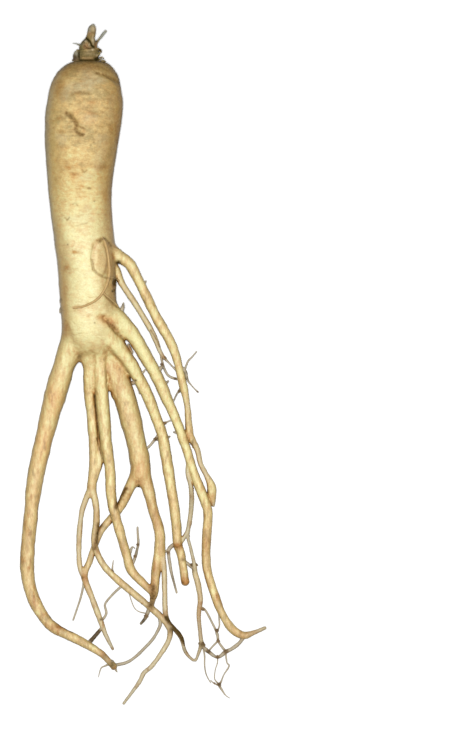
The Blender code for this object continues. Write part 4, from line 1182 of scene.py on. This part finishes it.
CROWN_CRACKS = [
    (1.1, 1.4, [(86, 38.4), (88, 39.8), (89.8, 41.4), (91, 43.6), (91.6, 45.6), (93, 47)]),
    (0.5, 0.35, [(82, 51.6), (88, 52.6), (96, 51.2)]),
    (0.5, 0.3, [(82, 53.9), (89, 55), (97, 53.2)]),
    (0.5, 0.35, [(81, 56.4), (89, 57.4), (97, 55.6)]),
    (0.6, 0.8, [(85.2, 39.4), (83.4, 42), (82.4, 44.6)]),
    (0.55, 0.7, [(84.6, 45.6), (87, 48), (89.4, 49), (91.4, 48.6)]),
]


def make_crown():
    """The crown: a ridged knob with the stub of a stem, a twig, a hair and dry bud scales."""
    parts = [
        tube(CROWN_KNOB, 64, 0.5, 1, uneven=0.04, wander=0, swell=knob_swell),
        tube(STEM_STUB, 40, 0.6, 2, uneven=0.05, wander=0.1, swell=stub_swell),
        tube(BUD, 24, 0.6, 5, uneven=0.08, flat=0.8, wander=0),
        tube(TWIG, 12, 0.8, 3, uneven=0.14),
        tube(HAIR, 8, 0.8, 4),
    ]
    for seed, route in enumerate(FIBRES):
        parts.append(tube(route, 8, 0.6, 40 + seed, wander=0.1))
    for seed, route in enumerate(LEFT_SCALES + RIGHT_SCALES):
        parts.append(tube(route, 16, 0.6, 60 + seed, uneven=0.2, flat=0.42, wander=0.2))
    crown = gather("crown_bark", parts)
    points, normals = read_mesh(crown)
    found = {kind: np.zeros(len(points)) for kind in CROWN_PATCHES}
    for kind, *place, strength in rows_of(CROWN_PATCHES):
        deepen(found, kind, strength * np.exp(-oval(points, *place)))
    for width, darkness, line in CROWN_CRACKS:
        gap = line_distance(points, line)[0] / width
        deepen(found, "dark", darkness * np.exp(-gap ** 2) * (normals[:, 2] > -0.2))
    paint(crown, found)
    return crown


class Nodes:
    """Shorthand for building a material out of nodes."""

    def __init__(self, name):
        self.material = bpy.data.materials.new(name)
        self.material.use_nodes = True
        self.tree = self.material.node_tree
        self.shader = self.tree.nodes["Principled BSDF"]

    def node(self, kind, inputs=(), **settings):
        node = self.tree.nodes.new(kind)
        for key, value in settings.items():
            setattr(node, key, value)
        for key, value in dict(inputs).items():
            self.put(node.inputs[key], value)
        return node

    def put(self, socket, value):
        if isinstance(value, bpy.types.NodeSocket):
            self.tree.links.new(value, socket)
        else:
            socket.default_value = value

    def attribute(self, name):
        return self.node("ShaderNodeAttribute", attribute_name=name).outputs["Fac"]

    def math(self, operation, one, two, three=0.0):
        return self.node("ShaderNodeMath", {0: one, 1: two, 2: three}, operation=operation).outputs[0]

    def times(self, one, two):
        return self.math("MULTIPLY", one, two)

    def mix(self, share, one, two, blend="MIX"):
        node = self.node("ShaderNodeMix", data_type="RGBA", blend_type=blend)
        self.put(node.inputs[0], share)
        for spot, colour in ((6, one), (7, two)):
            self.put(node.inputs[spot], (*colour, 1) if isinstance(colour, tuple) else colour)
        return node.outputs[2]

    def blend(self, share, one, two):
        """One number at a share of nothing, the other at a share of one."""
        return self.math("MULTIPLY_ADD", share, self.math("SUBTRACT", two, one), one)

    def lay(self, colour, name, amount, over):
        """Another colour laid over one, as much as a vertex trait says."""
        return self.mix(self.times(self.attribute(name), amount), colour, over)

    def finish(self, colour, roughness, shine, normal=None):
        """The material, with these on its shader."""
        shader = {"Base Color": colour, "Roughness": roughness, "Specular IOR Level": shine}
        if normal is not None:
            shader["Normal"] = normal
        for name, value in shader.items():
            self.put(self.shader.inputs[name], value)
        return self.material

    def place(self, size):
        """The object's own coordinates, so that a feature of that many grid units is one long."""
        sizes = size if isinstance(size, tuple) else (size,) * 3
        coords = self.node("ShaderNodeTexCoord").outputs["Object"]
        scale = tuple(1 / (GRID * one) for one in sizes)
        return self.node("ShaderNodeMapping", {"Vector": coords, "Scale": scale}).outputs["Vector"]

    def noise(self, size, detail=3.0, rough=0.5, low=0.3, high=0.7, warp=0.0):
        """A cloud from 0 to 1 with features of that many grid units."""
        texture = self.node("ShaderNodeTexNoise", {
            "Vector": self.place(size), "Scale": 1.0,
            "Detail": detail, "Roughness": rough, "Distortion": warp,
        })
        return self.node("ShaderNodeMapRange", {
            "Value": texture.outputs["Fac"], "From Min": low, "From Max": high,
        }).outputs["Result"]

    def bump(self, height, distance, strength, below=None):
        """Normals from heights, over another bump if one is named."""
        inputs = {"Height": height, "Distance": distance, "Strength": strength}
        if below is not None:
            inputs["Normal"] = below
        return self.node("ShaderNodeBump", inputs).outputs["Normal"]


# Skin colours, as linear light
TAN = (0.252, 0.197, 0.084)
PALE_TAN = (0.41, 0.31, 0.135)
CREAM = (0.455, 0.43, 0.208)
ORANGE_TAN = (0.34, 0.215, 0.085)
BLUSH = (0.98, 0.77, 0.62)
# Ring and brown stains, and the painted shade that the brown trait carries
STAIN_AND_SHADE = (0.66, 0.42, 0.24)
# The colour of the painted shade on the sides
SIDE_SHADE = (0.16, 0.13, 0.055)
BROWN = (0.17, 0.085, 0.025)
DARK = (0.04, 0.026, 0.008)
SPECKLE = (0.20, 0.115, 0.05)
GREY_TAN = (0.30, 0.27, 0.172)
# The warmer colour of the painted shade on the sides
SIDE_SHADE_TINT = (0.295, 0.212, 0.06)
TINGE = (1.0, 0.88, 0.76)
ROOTLET = (0.20, 0.185, 0.138), (0.275, 0.245, 0.175)
FRESH_ROOTLET = (0.30, 0.205, 0.08), (0.40, 0.285, 0.12)
BARK = (0.12, 0.085, 0.03), (0.24, 0.165, 0.062)
BARK_GRAIN = (0.07, 0.05, 0.018)
BARK_DARK = (0.02, 0.014, 0.002)

# What is laid over the skin and the bark, in this order: the trait, how much of it, and its colour
# On the skin the last two layers are painted shade, laid on where the surface turns away from facing up
SKIN_LAYERS = (
    ("grey", 0.85, GREY_TAN), ("thin", 0.75, (0.215, 0.193, 0.122)), ("side_shade_tint", 1.0, SIDE_SHADE_TINT),
    ("side", 0.75, SIDE_SHADE),
)
BARK_LAYERS = (
    ("pink", 0.8, (0.27, 0.14, 0.065)), ("pale", 1.0, (0.36, 0.29, 0.18)),
    ("green", 0.6, (0.13, 0.125, 0.045)), ("grey", 1.0, (0.21, 0.215, 0.18)),
    ("plum", 1.0, (0.085, 0.05, 0.043)), ("rust", 1.0, (0.11, 0.04, 0.009)),
)


def ramp(nodes, value, stops):
    """A blend through several colours."""
    node = nodes.node("ShaderNodeValToRGB", {"Fac": value})
    elements = node.color_ramp.elements
    while len(elements) < len(stops):
        elements.new(0.5)
    for element, (place, colour) in zip(elements, stops):
        element.position = place
        element.color = (*colour, 1)
    return node.outputs["Color"]


def skin_material():
    """The root's skin: cream to tan, mottled, ringed on the taproot, with brown and pink patches, painted
    shade on its sides, in its crevices and round its fork, and painted highlights down its middles.
    """
    n = Nodes("root_skin")
    body = n.attribute("body")
    broad = n.blend(body, n.noise((9, 24, 9), 3, 0.55), n.noise((20, 12, 20), 3, 0.55))
    streaks = n.noise((2.8, 9, 2.8), 4, 0.65, 0.36, 0.64)
    mottle = n.blend(body, streaks, n.noise((6, 4, 6), 4, 0.65, 0.36, 0.64))
    rings = n.noise((9, 3.2, 9), 3, 0.6, warp=0.8)
    fine = n.noise(1.9, 4, 0.65)
    shift = n.math("MULTIPLY_ADD", broad, 0.5, n.math("MULTIPLY_ADD", mottle, 0.5, -0.5))
    shift = n.times(shift, n.math("MULTIPLY_ADD", body, -0.8, 1.8))
    pale = n.math("ADD", n.attribute("pale"), shift)
    colour = ramp(n, pale, ((0.0, TAN), (0.5, PALE_TAN), (1.0, CREAM)))
    warm = n.times(n.attribute("tone"), n.noise((5, 16, 5), 4, 0.6, 0.38, 0.62))
    colour = n.mix(warm, colour, ORANGE_TAN)
    for layer in SKIN_LAYERS:
        colour = n.lay(colour, *layer)
    tinge = n.blend(body, *(n.noise(size, 3, 0.6, 0.36, 0.64) for size in ((2.4, 7, 2.4), (4, 5, 4))))
    colour = n.mix(n.times(tinge, 0.6), colour, TINGE, "MULTIPLY")
    blush = n.noise((11, 9, 11), 3, 0.5, 0.55, 0.85)
    pink = n.math("MAXIMUM", n.attribute("pink"), n.times(blush, 0.4))
    colour = n.mix(n.math("MINIMUM", pink, 1.0), colour, BLUSH, "MULTIPLY")
    lines = n.times(n.math("SUBTRACT", 0.5, rings), n.times(body, 0.6))
    colour = n.mix(n.math("MAXIMUM", lines, 0.0), colour, STAIN_AND_SHADE, "MULTIPLY")
    grain = n.times(n.math("SUBTRACT", 0.8, fine), 0.32)
    colour = n.mix(n.math("MAXIMUM", grain, 0.0), colour, SPECKLE)
    specks = n.noise(1.3, 2, 0.5, 0.66, 0.74)
    colour = n.mix(n.times(specks, 0.45), colour, SPECKLE)
    ragged = n.math("MULTIPLY_ADD", n.noise(2.6, 3, 0.6), 0.8, 0.6)
    # The brown and dark traits carry stains and dark marks, and also painted shade and painted shadows
    brown = n.times(n.attribute("brown"), n.times(ragged, 1.25))
    colour = n.mix(n.math("MINIMUM", brown, 1.0), colour, STAIN_AND_SHADE, "MULTIPLY")
    dark = n.times(n.attribute("dark"), ragged)
    colour = n.mix(n.math("MINIMUM", dark, 0.95), colour, DARK)
    low = n.bump(n.times(rings, body), 0.0002, 0.4)
    high = n.bump(n.math("ADD", fine, n.noise(0.8, 3)), 0.00012, 0.55, low)
    return n.finish(colour, n.math("MULTIPLY_ADD", mottle, -0.14, 0.7), n.attribute("sheen"), high)


def rootlet_material():
    """Thin rootlets: greyish tan with dark knots."""
    n = Nodes("rootlet_skin")
    patch = n.noise((6, 6, 6), 4, 0.6)
    fine = n.noise(1.5, 3, 0.6)
    colour = n.mix(n.attribute("fresh"), n.mix(patch, *ROOTLET), n.mix(patch, *FRESH_ROOTLET))
    # Painted shade on the rootlets' sides
    colour = n.lay(colour, "side", 0.55, SIDE_SHADE)
    colour = n.mix(n.times(n.math("SUBTRACT", 1.0, fine), 0.45), colour, SPECKLE)
    colour = n.lay(colour, "brown", 0.85, BROWN)
    dark = n.times(n.attribute("dark"), n.math("MULTIPLY_ADD", fine, 0.6, 0.6))
    colour = n.mix(n.math("MINIMUM", dark, 0.95), colour, DARK)
    return n.finish(colour, n.math("MULTIPLY_ADD", patch, 0.2, 0.6), 0.25, n.bump(fine, 0.00012, 0.6))


def crown_material():
    """The crown's dry bark: brown and tan with dark cracks."""
    n = Nodes("crown_bark")
    patch = n.noise((5, 3, 5), 4, 0.65)
    colour = n.mix(patch, *BARK)
    for layer in BARK_LAYERS:
        colour = n.lay(colour, *layer)
    fibres = n.noise((1, 5, 1), 3, 0.6)
    colour = n.mix(n.times(n.math("SUBTRACT", 1.0, fibres), 0.55), colour, BARK_GRAIN)
    dark = n.times(n.attribute("dark"), n.math("MULTIPLY_ADD", patch, 0.4, 0.75))
    colour = n.mix(n.math("MINIMUM", dark, 0.98), colour, BARK_DARK)
    bump = n.bump(n.math("ADD", fibres, patch), 0.0003, 0.7)
    return n.finish(colour, n.math("MULTIPLY_ADD", fibres, 0.2, 0.75), 0.04, bump)


def floor_material():
    """A plain, nearly white surface."""
    return Nodes("floor").finish((0.5, 0.5, 0.5, 1), 0.9, 0.1)


# The picture: its size in pixels, which the grid units are, and the camera's height in metres
PICTURE = (450, 731)
CAMERA_HEIGHT = 6.0
FOCUS_HEIGHT = 0.012
SENSOR = 36.0

# The stage, in metres and watts: how far the floor reaches, how far it lies below the root, and the light
FLOOR_REACH = 8.0
FLOOR_DROP = 0.00005
LAMP_PLACE = (0.0, 0.05, 3.0)
LAMP_WIDTH = 0.3
LAMP_POWER = 190.0
SKY_LIGHT = 0.07


def make_stage():
    """The floor, the soft light and the camera straight above."""
    square = np.array([(-1, -1, 0), (1, -1, 0), (1, 1, 0), (-1, 1, 0)])
    floor = mesh_object("floor", FLOOR_REACH * square - (0, 0, FLOOR_DROP), [(0, 1, 2, 3)])
    floor.data.materials.append(floor_material())
    lamp = bpy.data.lights.new("key", "AREA")
    lamp.shape = "DISK"
    lamp.size = LAMP_WIDTH
    lamp.energy = LAMP_POWER
    add_object("key", lamp).location = LAMP_PLACE
    world = bpy.data.worlds.new("studio")
    world.use_nodes = True
    sky = world.node_tree.nodes["Background"]
    sky.inputs["Color"].default_value = (1, 1, 1, 1)
    sky.inputs["Strength"].default_value = SKY_LIGHT
    bpy.context.scene.world = world
    bpy.context.scene.view_settings.view_transform = "Standard"
    lens = bpy.data.cameras.new("camera")
    lens.sensor_width = SENSOR
    lens.lens = SENSOR * (CAMERA_HEIGHT - FOCUS_HEIGHT) / (PICTURE[1] * GRID)
    lens.clip_end = 2 * CAMERA_HEIGHT
    camera = add_object("camera", lens)
    middle = to_metres(np.array((PICTURE[0] / 2, PICTURE[1] / 2, 0)))
    camera.location = (middle[0], middle[1], CAMERA_HEIGHT)
    bpy.context.scene.camera = camera


def main():
    """The pieces, what they are made of, what they stand in for, and the stage."""
    skin = make_skin()
    skin.data.materials.append(skin_material())
    rootlets = make_rootlets(skin)
    rootlets.data.materials.append(rootlet_material())
    crown = make_crown()
    crown.data.materials.append(crown_material())
    for piece, slot in ((skin, "root_skin"), (rootlets, "root_skin"), (crown, "crown_bark")):
        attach(piece, "root")
    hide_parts("root")
    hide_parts("crown")
    make_stage()


main()
